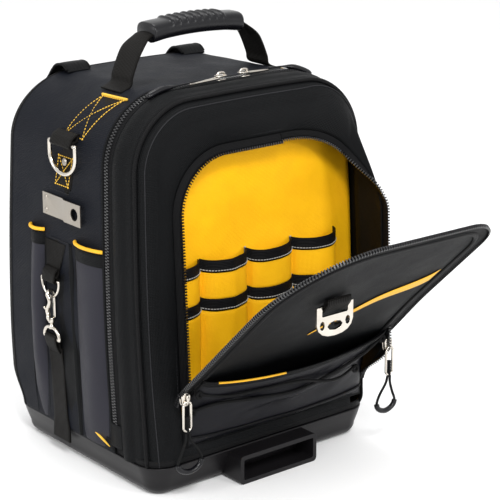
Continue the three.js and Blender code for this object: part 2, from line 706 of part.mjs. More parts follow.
function makeHandle() {
  const half = WEBBING_W / 2;
  const pinch = PINCH_W / 2;
  const footLift = SURFACE_LIFT + WEBBING_T + GAP;
  const foot = skin(HANDLE_FOOT_A, HANDLE_S - WEBBING_W / 2, footLift);
  const toe = skin(HANDLE_FOOT_A + HANDLE_TOE_L, HANDLE_S - WEBBING_W / 2, footLift);
  const gripHalf = GRIP_LENGTH / 2;
  const arch = (x) => HANDLE_TOP - GRIP_T - GRIP_CROWN * (x / gripHalf) ** 2;
  const rows = [
    { x: toe.x, z: toe.z, half },
    { x: foot.x, z: foot.z + 1.2, half },
    { x: foot.x - 3, z: foot.z + 12, half },
    { x: lerp(foot.x, gripHalf, 0.4), z: lerp(foot.z, arch(gripHalf), 0.66), half: half - 1 },
    { x: gripHalf + 8, z: arch(gripHalf) - 4, half: pinch + 2 },
    ...[1, 0.66, 0.33, 0].map((t) => ({ x: t * gripHalf, z: arch(t * gripHalf), half: pinch })),
  ];
  const path = [...rows, ...rows.slice(0, -1).reverse().map((row) => ({ ...row, x: -row.x }))];
  const centreY = depthScale(BAG_TOP) * HANDLE_S;
  const sections = path.map((p, i) => {
    const [before, after] = [path[Math.max(0, i - 1)], path[Math.min(path.length - 1, i + 1)]];
    const run = new THREE.Vector2(after.x - before.x, after.z - before.z).normalize();
    const [ux, uz] = [-run.y * WEBBING_T, run.x * WEBBING_T];
    return [
      V(p.x, centreY - p.half, p.z), V(p.x, centreY + p.half, p.z),
      V(p.x + ux, centreY + p.half, p.z + uz), V(p.x + ux, centreY - p.half, p.z + uz),
    ];
  });
  add("handle_webbing", loft(sections), WEBBING);
  const w = GRIP_W / 2;
  const clear = GAP + 0.2;
  const ridgeAt = (x) => {
    const phase = (x / GRIP_RIDGE_PITCH + GRIP_RIDGES / 2) % 1;
    const inside = Math.abs(x) < (GRIP_RIDGES * GRIP_RIDGE_PITCH) / 2;
    return inside && Math.abs(phase - 0.5) < 0.1 ? GRIP_RIDGE_H : 0;
  };
  const ridgeXs = Array.from({ length: GRIP_RIDGES }, (_, i) => (i - GRIP_RIDGES / 2) * GRIP_RIDGE_PITCH);
  const ridgeEdges = ridgeXs.flatMap((x) => [2, 5, 8].map((k) => x + (k * GRIP_RIDGE_PITCH) / 10));
  const xs = [-gripHalf, -0.8 * gripHalf, ...ridgeEdges, 0.8 * gripHalf, gripHalf];
  const grip = xs.map((x) => {
    const z = arch(x);
    const top = z + GRIP_T - WEBBING_T + ridgeAt(x);
    const ring = [
      [-w, z - 2], [-w, z + GRIP_T * 0.45], [-w * 0.45, top], [w * 0.45, top],
      [w, z + GRIP_T * 0.45], [w, z - 2], [w * 0.8, z - GRIP_T * 0.6], [w * 0.25, z - GRIP_T * 0.75],
      [w * 0.25, z - WEBBING_T - clear], [pinch + clear, z - WEBBING_T - clear], [pinch + clear, z + clear],
      [-pinch - clear, z + clear], [-pinch - clear, z - WEBBING_T - clear],
      [-w * 0.25, z - WEBBING_T - clear], [-w * 0.25, z - GRIP_T * 0.75], [-w * 0.8, z - GRIP_T * 0.6],
    ];
    return ring.map(([y, height]) => V(x, centreY + y, height));
  });
  add("handle_grip", loft(grip), RUBBER);
}

// Side webbing runs from the handle's foot down to the ring, slanting as the photo shows.
// Rows: height as a share of the run, depth of its middle, width
const SIDE_WEBBING = [
  { share: 0, middle: -30, width: 1.45 },
  { share: 0.41, middle: -4, width: 1.3 },
  { share: 0.62, middle: 10, width: 1.15 },
  { share: 1, middle: 22, width: 1 },
];

function sideWebbingAt(t) {
  const i = Math.min(SIDE_WEBBING.length - 2, SIDE_WEBBING.findLastIndex((r) => r.share <= t));
  const [p, q] = [SIDE_WEBBING[Math.max(0, i)], SIDE_WEBBING[Math.max(0, i) + 1]];
  const k = (t - p.share) / (q.share - p.share);
  return { middle: lerp(p.middle, q.middle, k), width: WEBBING_W * lerp(p.width, q.width, k) };
}

function makeSideWebbing() {
  const start = HANDLE_FOOT_A + HANDLE_TOE_L + 2;
  const end = sideAt(D_RING_Z - 52);
  for (const side of [-1, 1]) {
    const share = (t) => (side < 0 ? 1 - t : t);
    const edge = (sign) => (t) => {
      const { middle, width } = sideWebbingAt(share(t));
      return middle + (sign * width) / 2;
    };
    const [a0, a1] = side < 0 ? [-end, -start] : [start, end];
    const strip = skinStrip(a0, a1, edge(-1), edge(1), SURFACE_LIFT, SURFACE_LIFT + WEBBING_T);
    add(`side_webbing_${side < 0 ? "left" : "right"}`, strip, WEBBING);
  }
}

function makeDRing() {
  const onWebbing = SURFACE_LIFT + WEBBING_T;
  const lift = onWebbing + D_RING_STAND + BAR_R + LOOP_CLEAR + WEBBING_T;
  const pivot = skin(-sideAt(D_RING_Z), D_RING_S, lift);
  const [low, high] = [0, D_LOOP_TAIL].map((rise) => skin(rise - sideAt(D_RING_Z), D_RING_S, onWebbing));
  const up = high.sub(low).setY(0).normalize();
  const outward = V(-up.z, 0, up.x);
  const standOff = pivot.clone().sub(low).dot(outward) - D_LOOP_CLEAR;
  const loop = webbingLoop(D_RING_IN_W - 6, BAR_R, standOff, D_LOOP_TAIL);
  add("d_ring_loop", placed(loop, pivot, outward, up), WEBBING);
  const half = D_RING_IN_W / 2;
  const bottom = shares(8).map((t) => {
    const angle = t * Math.PI;
    const rise = (D_RING_REACH - 15) * (1 - Math.sin(angle)) + 2;
    return V(0, pivot.y + (half + BAR_R) * Math.cos(angle), pivot.z - D_RING_REACH + rise);
  });
  const corner = half + BAR_R;
  const path = [V(0, pivot.y - corner, pivot.z), V(0, pivot.y + corner, pivot.z), ...bottom];
  path.forEach((p) => (p.x = pivot.x));
  add("d_ring", loopTube(path, V(1, 0, 0), BAR_R, 8), NICKEL);
}

function makeBeltClip() {
  const under = SURFACE_LIFT;
  const holdLength = [sideAt(CLIP_Z + 22), sideAt(POCKET_TOP - 10)];
  const near = CLIP_S1 + 31;
  const far = near + WEBBING_W * 1.15;
  const [a0, a1] = [-holdLength[1], -holdLength[0]];
  add("clip_webbing", skinStrip(a0, a1, () => near, () => far, under, under + WEBBING_T), WEBBING);
  const rise = under + WEBBING_T + 2.5 * GAP;
  const lifts = [[CLIP_S0, rise], [CLIP_S0 - 44, rise], [CLIP_S0 - 52, rise + 3], [CLIP_S1, rise + 3]];
  const blank = loft(
    lifts.map(([s, lift]) => {
      const corner = (dz, more) => {
        const p = skin(-sideAt(CLIP_Z), s, lift + more);
        return p.setZ(CLIP_Z + dz);
      };
      const h = CLIP_H / 2;
      return [corner(-h, 0), corner(h, 0), corner(h, CLIP_T), corner(-h, CLIP_T)];
    }),
  );
  const x = skin(-sideAt(CLIP_Z), 0, rise).x;
  const drill = new THREE.CylinderGeometry(7, 7, 30, 12).rotateZ(QUARTER);
  drill.translate(x, (CLIP_S1 + 13) * depthScale(CLIP_Z), CLIP_Z);
  const rivets = [-7, 7].map((dz) => {
    const head = new THREE.SphereGeometry(3.2, 8, 5).scale(0.4, 1, 1);
    return head.translate(x - CLIP_T, (CLIP_S0 - 8) * depthScale(CLIP_Z), CLIP_Z + dz);
  });
  add("belt_clip", cut(join(blank, ...rivets), drill), NICKEL);
}

// Tapered tab, wire ring, snap hook and the strap that it holds
function makeHook() {
  const y = HOOK_S * depthScale(HOOK_BAR_Z);
  const loopStand = HOOK_WIRE_R + LOOP_CLEAR + 1.5 + WEBBING_T;
  const x = skin(-sideAt(HOOK_BAR_Z), HOOK_S, SURFACE_LIFT + loopStand + 1.6).x;
  const loop = webbingLoop(HOOK_TAB_W, HOOK_WIRE_R + 1.5, loopStand, 14);
  const tabTop = POCKET_TOP - 10 - GAP;
  const tab = loft(
    [[HOOK_BAR_Z + 13, 0.5], [HOOK_BAR_Z + 24, 0.7], [tabTop, 0.85]].map(([z, share]) => {
      const corner = (dy, lift) => V(x + loopStand - lift, y + dy, z);
      const half = HOOK_TAB_W * share;
      const shift = (share - 0.5) * 0.35 * HOOK_TAB_W;
      const [back, front] = [half - shift, -half - shift];
      return [
        corner(front, 0.2), corner(back, 0.2),
        corner(back, 2 * WEBBING_T), corner(front, 2 * WEBBING_T),
      ];
    }),
  );
  add("hook_tab", join(placed(loop, V(x, y, HOOK_BAR_Z), V(-1, 0, 0), V(0, 0, 1)), tab), WEBBING);
  const arc = shares(9).map((t) => {
    const angle = Math.PI * t;
    const drop = 2 + (HOOK_RING_H - 2) * Math.sin(angle);
    return V(x, y + (HOOK_RING_W / 2) * Math.cos(angle), HOOK_BAR_Z - drop);
  });
  const bar = [V(x, y - HOOK_RING_W / 2 + 1.5, HOOK_BAR_Z), V(x, y + HOOK_RING_W / 2 - 1.5, HOOK_BAR_Z)];
  add("hook_ring", loopTube([...bar, ...arc], V(1, 0, 0), HOOK_WIRE_R, 6), NICKEL);
  const hookR = 2;
  const hookTop = HOOK_BAR_Z - HOOK_RING_H + HOOK_WIRE_R + 2 * hookR + GAP;
  const hookBottom = HOOK_EYE_Z + 20;
  const reach = 4.5;
  const hookLoop = shares(12).slice(1).map((t) => {
    const angle = 2 * Math.PI * t;
    const z = Math.sin(angle) > 0 ? hookTop - reach : hookBottom + reach;
    return V(x + reach * Math.cos(angle), y, z + reach * Math.sin(angle));
  });
  const barrel = new THREE.LatheGeometry(
    [[0, 0], [3.6, 0], [3.6, 4], [2.4, 5], [2.4, 7], [4.4, 8], [4.4, 14], [0, 14]].map(
      ([r, h]) => new THREE.Vector2(r, h),
    ),
    8,
  );
  barrel.rotateX(QUARTER).translate(x, y, hookBottom - 10);
  const eyeHalf = HOOK_STRAP_W / 2 - 1;
  const eye = [
    V(x, y - eyeHalf - BAR_R, HOOK_EYE_Z), V(x, y + eyeHalf + BAR_R, HOOK_EYE_Z),
    V(x, y + eyeHalf, HOOK_EYE_Z + 7), V(x, y + 6, HOOK_EYE_Z + 11),
    V(x, y - 6, HOOK_EYE_Z + 11), V(x, y - eyeHalf, HOOK_EYE_Z + 7),
  ];
  const parts = [loopTube(hookLoop, V(0, 1, 0), hookR, 6), barrel, loopTube(eye, V(1, 0, 0), BAR_R, 8)];
  add("snap_hook", join(...parts), NICKEL);
  const stand = BAR_R + LOOP_CLEAR + WEBBING_T;
  const turned = webbingLoop(HOOK_STRAP_W - 6, BAR_R, stand, 16);
  const carried = placed(turned, V(x, y, HOOK_EYE_Z), V(-1, 0, 0), V(0, 0, -1));
  const down = [HOOK_EYE_Z - 14, 90, TRAY_H + 8, TRAY_H - 2, STRAP_END_Z];
  const strap = loft(
    down.map((z) => {
      const onCloth = skin(-sideAt(z), HOOK_S, 2.4).x;
      const onTray = -HALF_W - TRAY_LEDGE - GAP;
      const lean = z < TRAY_H + 10 ? onTray : Math.min(onCloth, onTray);
      const face = z > HOOK_EYE_Z - 20 ? x + stand - 0.1 : lean;
      const h = HOOK_STRAP_W / 2;
      return [
        V(face, y - h, z), V(face, y + h, z),
        V(face - WEBBING_T, y + h, z), V(face - WEBBING_T, y - h, z),
      ];
    }),
  );
  add("lower_strap", join(carried, strap), WEBBING);
}

// Side pockets: a front and a rear pouch on the left, and a plain panel on the right
function makeSidePockets() {
  const pouch = (name, s0, s1, side, piped) => {
    const at = (lift) => (v, u) => {
      const z = lerp(TRAY_H + 2, POCKET_TOP, v);
      const rise = POUCH_BULGE * Math.sin(Math.PI * u) ** 0.7 * Math.sin(Math.PI * (0.1 + 0.6 * v));
      return skin(side * sideAt(z), lerp(s0, s1, u), SURFACE_LIFT + rise + lift);
    };
    const rows = lengthsBetween(sideAt(POCKET_TOP), sideAt(TRAY_H + 2))
      .reverse()
      .map((a) => (SIDE_START + SIDE_TOP_Z - a - TRAY_H - 2) / (POCKET_TOP - TRAY_H - 2));
    add(name, sheet(rows, shares(6), at(0), at(WALL * 0.8)), GREY_CLOTH);
    if (!piped) return;
    const rim = shares(8).map((u) => at(PIPING_R)(1, u).add(V(0, 0, PIPING_R + GAP)));
    add(`${name}_piping`, tube(rim, PIPING_R, 5, 8), YELLOW_CLOTH);
  };
  const front = MAIN_ZIP_S + MAIN_ZIP_W / 2 + 1.5;
  const back = HALF_D - EDGE_R - 8;
  pouch("side_pocket_front", front, front + FRONT_POUCH_W, -1, true);
  const rear = HOOK_S + REAR_POUCH_BESIDE;
  pouch("side_pocket_rear", rear, rear + REAR_POUCH_W, -1, true);
  pouch("side_pocket_right", front, back - RIGHT_POUCH_GAP, 1, false);
}

// Ring on the flap: a cast plate that hangs by its bar from a folded webbing tab
function makeAccessoryRing() {
  const { angle } = flapLine(ACCESSORY_T);
  const standOff = BAR_R + LOOP_CLEAR + WEBBING_T + GAP;
  const pivot = flapPoint(ACCESSORY_X, ACCESSORY_T, standOff + 0.5);
  const outward = V(0, -Math.cos(angle), -Math.sin(angle));
  const up = V(0, -Math.sin(angle), Math.cos(angle));
  const loop = webbingLoop(WEBBING_W * 0.86, BAR_R, standOff, 13);
  add("accessory_loop", placed(loop, pivot, outward, up), WEBBING);
  const [w, h] = [ACCESSORY_W / 2, ACCESSORY_H];
  const shape = new THREE.Shape();
  shape.moveTo(-w, BAR_R);
  shape.lineTo(-w, -h * 0.5);
  shape.quadraticCurveTo(-w * 0.9, -h + BAR_R, 0, -h + BAR_R);
  shape.quadraticCurveTo(w * 0.9, -h + BAR_R, w, -h * 0.5);
  shape.lineTo(w, BAR_R);
  const slotW = WEBBING_W * 0.86 + 3;
  const slotH = 7;
  shape.holes.push(roundedRect(slotW, slotH, 1.5, 0, -BAR_R - slotH / 2 + 0.9));
  const oval = new THREE.Path();
  oval.absellipse(0, -h * 0.6, 10.5, 5, 0, 2 * Math.PI);
  shape.holes.push(oval);
  for (const side of [-1, 1]) {
    const slot = new THREE.Path();
    slot.absellipse(side * w * 0.7, -h * 0.53, 3.4, 5, 0, 2 * Math.PI);
    shape.holes.push(slot);
  }
  const ring = plate(shape, ACCESSORY_T_PLATE, 4).rotateX(QUARTER).translate(pivot.x, pivot.y, pivot.z);
  add("accessory_ring", ring, NICKEL);
}

// Bungee over the flap's pocket. Rows: share across the flap, share up the pocket
const BUNGEE_LOWER = [
  { across: 0.01, up: 0.42, lift: 0 }, { across: 0.12, up: 0.58, lift: 0 },
  { across: 0.3, up: 0.62, lift: 0 }, { across: 0.5, up: 0.64, lift: 0 },
  { across: 0.7, up: 0.72, lift: 0 }, { across: 0.88, up: 0.82, lift: 0 },
  { across: 0.985, up: 0.93, lift: 0 },
];
const BUNGEE_UPPER = [
  { across: 0.015, up: 0.8, lift: 0 }, { across: 0.15, up: 0.78, lift: 0 },
  { across: 0.32, up: 0.82, lift: 0 }, { across: 0.52, up: 0.8, lift: 1 },
  { across: 0.66, up: 0.71, lift: 5 }, { across: 0.76, up: 0.62, lift: 3 },
  { across: 0.9, up: 0.46, lift: 0 },
];

function makeBungees() {
  const route = (rows) =>
    rows.map(({ across, up, lift }) => flapPocketPoint(across, up, WALL + BUNGEE_R + 1.2 + lift));
  add("bungee_lower", tube(route(BUNGEE_LOWER), BUNGEE_R, 6, 16), WEBBING);
  add("bungee_upper", tube(route(BUNGEE_UPPER), BUNGEE_R, 6, 14), WEBBING);
}

// Zipper sliders and pulls; the cord on a pull hangs in a U whose bottom a rubber sleeve covers.
// The left slider sits on the flap's edge and the right one on the tip of the flared band.
const LEFT_PULL_T = 70.5; // along the flap, from its root
const LEFT_PULL_BESIDE = 4.9; // beyond the flap's edge
const LEFT_PULL_OUT = 7.5;
const RIGHT_PULL_RISE = 74; // above the flap's root
const RIGHT_PULL_OUT = 5.9;
const PULLS = [
  { name: "left", cord: 46, lean: 3, sleeve: 16 },
  { name: "right", cord: 42, lean: 8, sleeve: 14 },
];

function pullPlace(name) {
  if (name === "right") return bandTip(FLAP_ROOT_Z + RIGHT_PULL_RISE).add(V(1, -RIGHT_PULL_OUT, 0));
  const { y, z } = flapLine(LEFT_PULL_T);
  return V(flapEdges(LEFT_PULL_T)[0] - LEFT_PULL_BESIDE, y - LEFT_PULL_OUT, z);
}

const PULL_RING_L = 34;
const PULL_RING_W = 13;
const PULL_WIRE_R = 1.5;
const CORD_STEPS = 16;

function makePulls() {
  for (const { name, cord, lean, sleeve } of PULLS) {
    const { x, y, z } = pullPlace(name);
    const body = plate(roundedRectShape(7, 13, 2), 6).rotateX(QUARTER).translate(x, y + 2, z);
    const half = PULL_RING_W / 2 - PULL_WIRE_R;
    const ringTop = z - 2;
    const loopPath = shares(10).slice(1).map((t) => {
      const angle = 2 * Math.PI * t;
      const dz = Math.sin(angle) > 0 ? -half : -PULL_RING_L + half;
      return V(x + half * Math.cos(angle), y - 2, ringTop + dz + half * Math.sin(angle));
    });
    add(`pull_${name}`, join(body, loopTube(loopPath, V(0, 1, 0), PULL_WIRE_R, 6)), NICKEL);
    const top = ringTop - PULL_RING_L - PULL_WIRE_R - GAP;
    const low = top - cord;
    const middle = x + lean;
    const strand = (sign) => [
      V(x + 2 * sign, y - 2, top),
      V(lerp(x, middle, 0.3) + 3.4 * sign, y - 2, top - cord * 0.2),
      V(middle + 0.72 * sleeve * sign, y - 2, top - cord * 0.5),
      V(middle + sleeve * sign, y - 2, top - cord * 0.75),
      V(middle + 0.72 * sleeve * sign, y - 2, low + cord * 0.08),
    ];
    const route = [...strand(-1), V(middle, y - 2, low), ...strand(1).reverse()];
    add(`pull_cord_${name}`, tube(route, PULL_CORD_R, 8, CORD_STEPS), WEBBING);
    const curve = new THREE.CatmullRomCurve3(route, false, "centripetal");
    const covered = shares(9).map((t) => curve.getPointAt(lerp(0.3, 0.7, t)));
    const bore = tube(route, PULL_CORD_R + GAP, 8, CORD_STEPS);
    add(`pull_sleeve_${name}`, cut(tube(covered, SLEEVE_R, 7, 9), bore), RUBBER);
  }
}

// Sliders of the main zipper, with a rod pull each and a rubber end on a short cord
const MAIN_PULLS = [
  { name: "left", side: -1, slider: 5, rodL: 38, tabL: 58, s: -84 },
  { name: "right", side: 1, slider: 27, rodL: 30, tabL: 57, s: -70 },
];
const ROD_OFF = 10; // from the slider

function makeMainPulls() {
  const tapeTop = SURFACE_LIFT + ZIP_TAPE_T;
  for (const { name, side, slider, rodL, tabL, s } of MAIN_PULLS) {
    const rod = [side * (slider + ROD_OFF), side * (slider + ROD_OFF + rodL)];
    const at = skin(side * slider, MAIN_ZIP_S, tapeTop + GAP + 3);
    const body = plate(roundedRectShape(15, 9, 2.5), 6).translate(at.x, at.y, at.z);
    const lift = tapeTop + PULL_WIRE_R + GAP + 0.8;
    const start = skin(side * (slider + 4), MAIN_ZIP_S, lift + 1.5);
    const middle = skin(rod[0], lerp(MAIN_ZIP_S, s, 0.5), lift + 1);
    const bar = tube([start, middle, skin(rod[1], s, lift)], PULL_WIRE_R, 6, 6);
    add(`main_pull_${name}`, join(body, bar), NICKEL);
    const tabStart = rod[1] + side * 2 * GAP;
    const tabEnd = rod[1] + side * tabL;
    const tabLift = tapeTop + SLEEVE_R + GAP + 1;
    const reach = shares(6).map((t) => skin(lerp(tabStart, tabEnd, t), s - 5 * t, tabLift));
    add(`main_pull_tab_${name}`, tube(reach, SLEEVE_R, 6, 8), RUBBER);
  }
}

// Back: a pad, and two padded shoulder straps that end in webbing through a slotted buckle.
// Rows: height as a share of the bag's, distance from the back, width and thickness as shares
const STRAP_ROWS = [
  { height: 0.995, across: 0.52, out: -40, wide: 0.5, thick: 0.35 },
  { height: 1.012, across: 0.52, out: -30, wide: 0.5, thick: 0.35 },
  { height: 1.009, across: 0.52, out: -16, wide: 0.5, thick: 0.35 },
  { height: 0.992, across: 0.52, out: -7, wide: 0.5, thick: 0.35 },
  { height: 0.967, across: 0.52, out: 2, wide: 0.5, thick: 0.4 },
  { height: 0.93, across: 0.53, out: 9, wide: 0.7, thick: 0.7 },
  { height: 0.88, across: 0.54, out: 17, wide: 1, thick: 1 },
  { height: 0.78, across: 0.57, out: 25, wide: 1, thick: 1 },
  { height: 0.64, across: 0.62, out: 28, wide: 1, thick: 1 },
  { height: 0.51, across: 0.67, out: 26, wide: 0.9, thick: 1 },
  { height: 0.42, across: 0.7, out: 22, wide: 0.76, thick: 0.9 },
  { height: 0.37, across: 0.71, out: 19, wide: 0.66, thick: 0.8 },
];
const BUCKLE_W = 50;
const BUCKLE_H = 26;
const BUCKLE_T = 4;

function makeBack() {
  const crown = (u, v) => (Math.sin(Math.PI * u) * Math.sin(Math.PI * v)) ** 0.25;
  const at = (depth) => (v, u) => {
    const z = lerp(PAD_BOTTOM, PAD_TOP, v);
    const rise = SURFACE_LIFT + depth * Math.max(0.15, crown(u, v));
    return V(lerp(-PAD_HALF_W, PAD_HALF_W, u), backY(z) + rise, z);
  };
  const grid = [0, 0.03, 0.1, 0.25, 0.5, 0.75, 0.9, 0.97, 1];
  add("back_pad", sheet(grid, grid, at(0), at(PAD_T)), BLACK_CLOTH);
  for (const side of [-1, 1]) {
    const name = side < 0 ? "left" : "right";
    const middle = STRAP_ROWS.map(({ height, across, out }) => {
      const z = height * BAG_TOP;
      return V(side * across * HALF_W, backY(Math.min(z, BAG_TOP)) + out, z);
    });
    const sections = STRAP_ROWS.map(({ wide, thick }, i) => {
      const [p, q] = [middle[Math.max(0, i - 1)], middle[Math.min(middle.length - 1, i + 1)]];
      const along = q.clone().sub(p).normalize();
      const across = V(1, 0, 0).addScaledVector(along, -along.x).normalize();
      const out = along.clone().cross(across);
      const h = (STRAP_W * wide) / 2;
      const edge = (w, t) =>
        middle[i].clone().addScaledVector(across, w * h).addScaledVector(out, (t * thick * STRAP_T) / 2);
      return [
        edge(-1, -0.35), edge(-0.75, -1), edge(0.75, -1), edge(1, -0.35),
        edge(1, 0.35), edge(0.75, 1), edge(-0.75, 1), edge(-1, 0.35),
      ];
    });
    add(`shoulder_strap_${name}`, loft(sections), BLACK_CLOTH);
    const end = middle.at(-1);
    const buckleZ = end.z - 2.5 - BUCKLE_H / 2;
    const shape = roundedRectShape(BUCKLE_W, BUCKLE_H, 4);
    for (const rise of [-6.5, 6.5]) shape.holes.push(slotPath(WEBBING_W + 2, 5, 0, rise));
    const buckle = plate(shape, BUCKLE_T, 3).rotateX(QUARTER).translate(end.x, end.y, buckleZ);
    add(`strap_buckle_${name}`, buckle, RUBBER);
    const footZ = TRAY_H + 44;
    const rows = [
      V(end.x, end.y + BUCKLE_T, buckleZ), V(end.x, end.y + BUCKLE_T, buckleZ - 5),
      V(end.x, end.y, buckleZ - BUCKLE_H), V(end.x + side * 4, backY(footZ) + GAP, footZ),
    ];
    const h = WEBBING_W / 2;
    const strap = loft(rows.map((p) => [
      V(p.x - h, p.y, p.z), V(p.x + h, p.y, p.z),
      V(p.x + h, p.y + WEBBING_T, p.z), V(p.x - h, p.y + WEBBING_T, p.z),
    ]));
    add(`strap_webbing_${name}`, strap, WEBBING);
  }
}

function slotPath(w, h, x, y) {
  return new THREE.Path(roundedRect(w, h, 1, x, y).getPoints(1));
}

function roundedRectShape(w, h, r) {
  return new THREE.Shape(roundedRect(w, h, r).getPoints(1));
}

makeShells();
makeTray();
makeOrganizer();
makeFlap();
makeFlapPocket();
makeRightBand();
makePocketZippers();
makeHandle();
makeSideWebbing();
makeDRing();
makeBeltClip();
makeHook();
makeSidePockets();
makeAccessoryRing();
makeBungees();
makePulls();
makeMainPulls();
makeBack();

export default root;
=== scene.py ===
# Looks of the tool backpack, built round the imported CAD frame.
# Lengths below are millimetres in the frame's own axes, and become metres when a mesh is made.
import math
from math import cos, sin, sqrt

import bmesh
import bpy
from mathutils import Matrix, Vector, noise


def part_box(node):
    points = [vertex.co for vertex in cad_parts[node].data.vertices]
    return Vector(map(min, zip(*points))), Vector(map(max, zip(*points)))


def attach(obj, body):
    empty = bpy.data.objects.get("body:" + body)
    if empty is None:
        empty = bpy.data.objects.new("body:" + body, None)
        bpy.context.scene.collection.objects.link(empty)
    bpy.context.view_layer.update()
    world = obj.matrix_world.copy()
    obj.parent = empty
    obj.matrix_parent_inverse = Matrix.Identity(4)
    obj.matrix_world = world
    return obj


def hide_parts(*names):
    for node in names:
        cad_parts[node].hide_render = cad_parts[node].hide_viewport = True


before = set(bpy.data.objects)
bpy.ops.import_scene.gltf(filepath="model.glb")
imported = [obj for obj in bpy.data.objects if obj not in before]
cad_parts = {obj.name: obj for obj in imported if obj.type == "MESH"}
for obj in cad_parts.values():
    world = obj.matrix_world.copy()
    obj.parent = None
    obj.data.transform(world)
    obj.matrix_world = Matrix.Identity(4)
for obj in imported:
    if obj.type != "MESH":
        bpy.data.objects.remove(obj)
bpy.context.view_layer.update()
MM = 0.001
PI = math.pi
V = Vector

# Sizes repeated from the part's source
HALF_W = 158
HALF_D = 138
BAG_TOP = 432
TOP_DEPTH_LOSS = 0.15
TOP_FALL = 8
TOP_CROWN = 4
SIDE_BULGE = 4
BACK_SWELL = 20
SWELL_TO = 42
CORNER_R = 75
EDGE_R_LOW = 28
EDGE_R = 24
RIM = 36
TRAY_LEDGE = 1.5
TOP_FLAT = HALF_W - CORNER_R
ARC_L = CORNER_R * PI / 2
SIDE_TOP = BAG_TOP - CORNER_R
SIDE_START = TOP_FLAT + ARC_L
ZIP_S = -76
OPEN_W = 117
OPEN_TOP = 381
OPEN_R = 72
BAND_X = 148
FLAP_Z = 52
FLAP_L = 345
FLAP_UPRIGHT = 33
FLAP_BEND_R = 55
FLAP_LEAN = math.radians(46)
FLAP_LEFT = 124
FLAP_RIGHT = 133
FLAP_FORWARD = 4
FLAP_CORNERS = (96, 42)
POCKET_L = 108
POCKET_TOP = 266
LOOP_HALF_W = 132
LOOP_COUNT = 4
BAND_H = 14
PAD_HALF_W = 86
PAD_BOTTOM = 78
PAD_TOP = 386
STRAP_W = 62
STRAP_T = 9
GRIP_HALF = 62
HANDLE_TOP = 503
WEBBING_FOOT = 97
WEBBING_W = 38
HOOK_BAR_Z = 215
STRAP_LOOP_Z = 146

# Sizes of this script's own
RING_WIRE = 2.4
TOOTH_PITCH = 3.3
MAIN_TOOTH_PITCH = 1.7


def lerp(a, b, t):
    return a + (b - a) * t


def ease(x, a, b):
    t = min(1, max(0, (x - a) / (b - a)))
    return t * t * (3 - 2 * t)


def bell(x, middle, wide):
    return math.exp(-(((x - middle) / wide) ** 2))


def blunt(x, power):
    """A power that keeps the sign, which squares a round section."""
    return math.copysign(abs(x) ** power, x)


def steps(n, a=0.0, b=1.0):
    return [lerp(a, b, i / n) for i in range(n + 1)]


def wobble(x, y, z, size, seed=0):
    """Smooth noise from -1 to 1 whose folds are about size mm apart."""
    return noise.noise(V((x / size + seed * 7.3, y / size, z / size)))


# Camera, fitted to the photograph
def look_from(where, target, lens):
    """A camera that looks from one place to another, in metres."""
    data = bpy.data.cameras.new("camera")
    data.lens = lens
    data.sensor_width = 36
    camera = bpy.data.objects.new("camera", data)
    camera.location = where
    camera.rotation_euler = (V(target) - V(where)).to_track_quat("-Z", "Y").to_euler()
    bpy.context.scene.collection.objects.link(camera)
    bpy.context.scene.camera = camera


look_from((-1.1921, -1.5797, 0.8396), (0.08842, 0, 0.2071), 128.7)


# Materials
def shader(name, color, rough, **more):
    mat = bpy.data.materials.new(name)
    mat.use_nodes = True
    tree = mat.node_tree
    bsdf = tree.nodes["Principled BSDF"]
    bsdf.inputs["Base Color"].default_value = (*color, 1)
    bsdf.inputs["Roughness"].default_value = rough
    for key, value in more.items():
        bsdf.inputs[key.replace("_", " ")].default_value = value
    return mat, tree, bsdf


def node(tree, kind, **inputs):
    made = tree.nodes.new(kind)
    for key, value in inputs.items():
        made.inputs[key.replace("_", " ")].default_value = value
    return made


def coords(tree, uv):
    source = tree.nodes.new("ShaderNodeTexCoord")
    return source.outputs["UV" if uv else "Object"]


def waves(tree, where, pitch, direction):
    wave = node(tree, "ShaderNodeTexWave", Scale=1 / pitch / 20 * 2 * PI, Distortion=0.0)
    wave.wave_type = "BANDS"
    wave.bands_direction = direction
    tree.links.new(where, wave.inputs["Vector"])
    return wave.outputs["Fac"]


def speckle(tree, where, **inputs):
    """The grey value of a noise texture."""
    made = node(tree, "ShaderNodeTexNoise", **inputs)
    tree.links.new(where, made.inputs["Vector"])
    return made.outputs["Fac"]


def maths(tree, how, a, b):
    made = tree.nodes.new("ShaderNodeMath")
    made.operation = how
    for slot, value in enumerate((a, b)):
        if isinstance(value, (int, float)):
            made.inputs[slot].default_value = value
        else:
            tree.links.new(value, made.inputs[slot])
    return made.outputs[0]


def mottle(tree, bsdf, where, color, spread, scale, rough, rough_spread):
    """Clouds of slightly other colour and roughness."""
    cloud = speckle(tree, where, Scale=scale, Detail=5.0, Roughness=0.62)
    ramp = tree.nodes.new("ShaderNodeValToRGB")
    ramp.color_ramp.elements[0].position = 0.3
    ramp.color_ramp.elements[1].position = 0.72
    ramp.color_ramp.elements[0].color = (*[c * (1 - spread) for c in color], 1)
    ramp.color_ramp.elements[1].color = (*[min(1, c * (1 + spread)) for c in color], 1)
    tree.links.new(cloud, ramp.inputs["Fac"])
    tree.links.new(ramp.outputs["Color"], bsdf.inputs["Base Color"])
    ends = {
        "From_Min": 0.3, "From_Max": 0.7, "To_Min": rough - rough_spread,
        "To_Max": rough + rough_spread,
    }
    level = node(tree, "ShaderNodeMapRange", **ends)
    tree.links.new(cloud, level.inputs["Value"])
    tree.links.new(level.outputs["Result"], bsdf.inputs["Roughness"])


def bump(tree, bsdf, height, strength, distance):
    made = node(tree, "ShaderNodeBump", Strength=strength, Distance=distance)
    tree.links.new(height, made.inputs["Height"])
    tree.links.new(made.outputs["Normal"], bsdf.inputs["Normal"])


